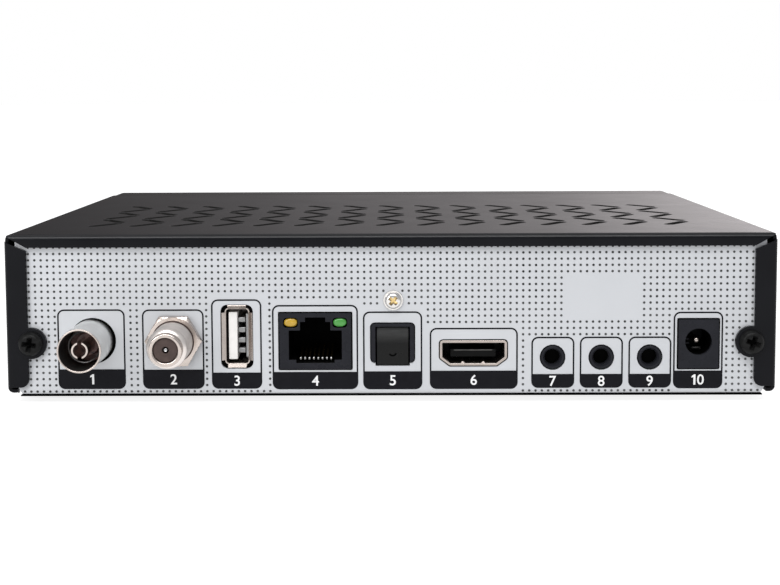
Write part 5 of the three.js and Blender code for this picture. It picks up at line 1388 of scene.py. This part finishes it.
gap_shade_outside = media_line(0.16, 14.16, 0.8, 9.95, 5.3, 8.2, 0.5)
gap_shade_inside = media_line(-0.1, 13.9, 0.6, 10.1, 5.1, 8.46, 0.4)
piece("media_socket_gap_shade", sheet(gap_shade_outside, [gap_shade_inside], panel_y - 0.1, panel_y + 0.05), "deep_black")
softened("media_socket_tongue", "tongue_plastic", 0.4, 4)
tongue_face = corners("media_socket_tongue")[1][1]
# A pale line on the tongue's upper front edge: painted highlight.
tongue_highlight = pillow(media_x, media_high[2] - 2.45, 4.7, 0.11, tongue_face - 0.4, tongue_face + 0.04, 0.08, 8)
piece("media_socket_painted_highlight", [tongue_highlight], "bore_nickel")
bump_z = media_low[2] + 0.62
bumps = [pillow(media_x + place, bump_z, 0.42, 0.34, 50.5, media_face - 0.05, 0.25) for place in (-2.2, 2.3)]
piece("media_socket_bumps", bumps, "warm_nickel")
print("multimedia socket made")

# %% [markdown]
# The three small jacks are alike: a block behind the panel and a round nose in it, with a funnel
# that leads the plug into the bore. The nose is one closed profile turned round, ring by ring,
# and a black core deep in the bore is painted shade, which keeps the bore as dark as a deep hole.

# %% Jacks
jack_radius, jack_bore, jack_rise = 2.62, 1.72, 8.35
bore_shade_radius = jack_bore - 0.02
for node in ("service_jack", "sound_and_picture_jack", "remote_eye_jack"):
    low, high = corners(node)
    x, z, back, face = middle(node)[0], base_z + jack_rise, low[1], high[1]
    jack_line = rectangle(low[0], high[0], low[2], high[2], 0.2)
    jack = block(jack_line, circle(x, z, jack_bore), back, panel_y - 1.1, back + 1.2)
    nose_profile = outline(
        [(panel_y - 1.4, jack_bore), (panel_y - 1.4, jack_radius), (face, jack_radius, 0.32),
         (face, jack_radius - 0.5, 0.12), (face - 0.7, jack_bore, 0.1)],
        4,
    )
    piece(node + "_socket", [*jack, turned(nose_profile, (x, 0, z), ring=True)], "socket_plastic", node)
    # Painted shade: a deep black core fills the bore behind the nose.
    bore_shade = [(back + 1.1, 0), (back + 1.1, bore_shade_radius), (panel_y - 2.0, bore_shade_radius), (panel_y - 2.0, 0)]
    piece(node + "_depth", [turned(bore_shade, (x, 0, z))], "deep_black")
print("jacks made")

# %% [markdown]
# The power jack is a square block with a round well. The well could be cut with a boolean, but the block
# helper gives it cleaner faces. A pin stands in the well's middle, and a springy leaf lies along
# its floor to touch the plug's sleeve.

# %% Power jack
power_low, power_high = corners("power_jack_housing")
power_back, power_face = power_low[1], power_high[1]
pin_back, pin_front = (corner[1] for corner in corners("power_jack_pin"))
pin_x, _, pin_z = middle("power_jack_pin")
well_radius, well_depth, pin_radius, pin_tip = 2.95, 9.5, 0.75, 0.7
power_line = rectangle(power_low[0], power_high[0], power_low[2], power_high[2], 0.25)
well = circle(pin_x, pin_z, well_radius, 64)
power = block(power_line, well, power_back, power_face, power_face - well_depth)
soften(piece("power_jack_block", power, "socket_plastic", "power_jack_housing"), 0.16)
# The black frame round the block is painted shade in the gap.
piece("power_jack_gap_shade", seal("power_jack_housing", 0.30), "deep_black")
# Painted shade: a deep black lining on the well's wall.
well_shade = [(power_face - 9.6, 2.93), (power_face - 9.6, 2.9), (power_face - 0.9, 2.9), (power_face - 0.9, 2.93)]
piece("power_jack_well_shade", [turned(well_shade, (pin_x, 0, pin_z), ring=True)], "deep_black")
pin = np.concatenate([[(pin_back, 0), (pin_back, pin_radius), (pin_front - pin_tip, pin_radius)],
                      head_profile(pin_front - pin_tip, pin_radius, pin_tip, 1.0, 8)])
piece("power_jack_post", [turned(pin, (pin_x, 0, pin_z), sides=32)], "shell_nickel", "power_jack_pin")
leaf_path = [(pin_back + 1, pin_z - 2.75), (49.5, pin_z - 2.65), (50.8, pin_z - 2.5), (51.4, pin_z - 2.2),
             (51.7, pin_z - 1.65)]
soften(piece("power_jack_leaf", [ribbon(leaf_path, pin_x, 2.0, 0.2)], "bore_nickel"), 0.05, 1)
ribs = [ribbon([(pin_back + 1, pin_z + up), (52.8, pin_z + up)], pin_x + 2.35, 1.0, 0.18) for up in (0.35, -0.55)]
piece("power_jack_ribs", ribs, "socket_plastic")
print("power jack made")

# %% [markdown]
# The receiver stands on four low rubber feet. A cylinder with a bevel would do as well, but the turned
# helper is at hand, and a profile with one rounded corner gives the soft rim at once.

# %% Feet
for node in ("foot_front_left", "foot_front_right", "foot_rear_left", "foot_rear_right"):
    low, high = corners(node)
    radius = (high[0] - low[0]) / 2
    pad = outline([(low[2], 0), (low[2], radius - 0.25, 0.35), (high[2], radius), (high[2], 0)], 5)
    x, y, _ = middle(node)
    piece(node + "_pad", [turned(pad, (x, y, 0), "Z", 48)], "foot_rubber", node)
print("feet made")

# %% [markdown]
# The front, which the picture doesn't show, is a moulding with a smoked window and three buttons.
# Their CAD solids are right already, so each gets rounded edges rather than a new shape.
# The buttons and their plungers ride on their own bodies and still press.

# %% Front
softened("front_panel", "front_plastic", 0.25, 3)
for key in ("power", "channel_down", "channel_up"):
    softened(key + "_button", "front_plastic", 0.35, 3)
softened("display_window", "smoked_window", 0.2, 3)
softened("standby_lamp", "red_lens", 0.15)
for key in ("power", "channel_down", "channel_up"):
    softened(key + "_plunger", "white_insulator", 0.08)
    softened(key + "_switch", "chip_resin", 0.08)
softened("display_module", "chip_resin", 0.1)
print("front made")

# %% [markdown]
# Inside, the boards, cans and chips can be glimpsed through the vents and from the open mouths.
# Finer shapes would be lost in the dark there, so they keep their CAD shape, and only their
# material slots are filled.

# %% Inside
kept_nodes = {
    "circuit_board": ["main_board", "front_board"],
    "tinned_steel": ["aerial_tuner_can", "dish_tuner_can", "ground_bracket", "crystal_can"],
    "chip_resin": ["main_chip", "memory_chip", "power_inductor", "board_header", "infrared_receiver"],
    "black_anodised": ["heat_sink"],
    "capacitor_sleeve": ["capacitor_1", "capacitor_2", "capacitor_3"],
    "bright_screw": ["board_screw_left", "board_screw_right"],
}
for finish_name, nodes in kept_nodes.items():
    for node in nodes:
        frame["nodes"][node].data.materials.clear()
        frame["nodes"][node].data.materials.append(finishes[finish_name])
print("CAD nodes kept:", sum(map(len, kept_nodes.values())))

# %% [markdown]

# %% Done
print("dressing done")
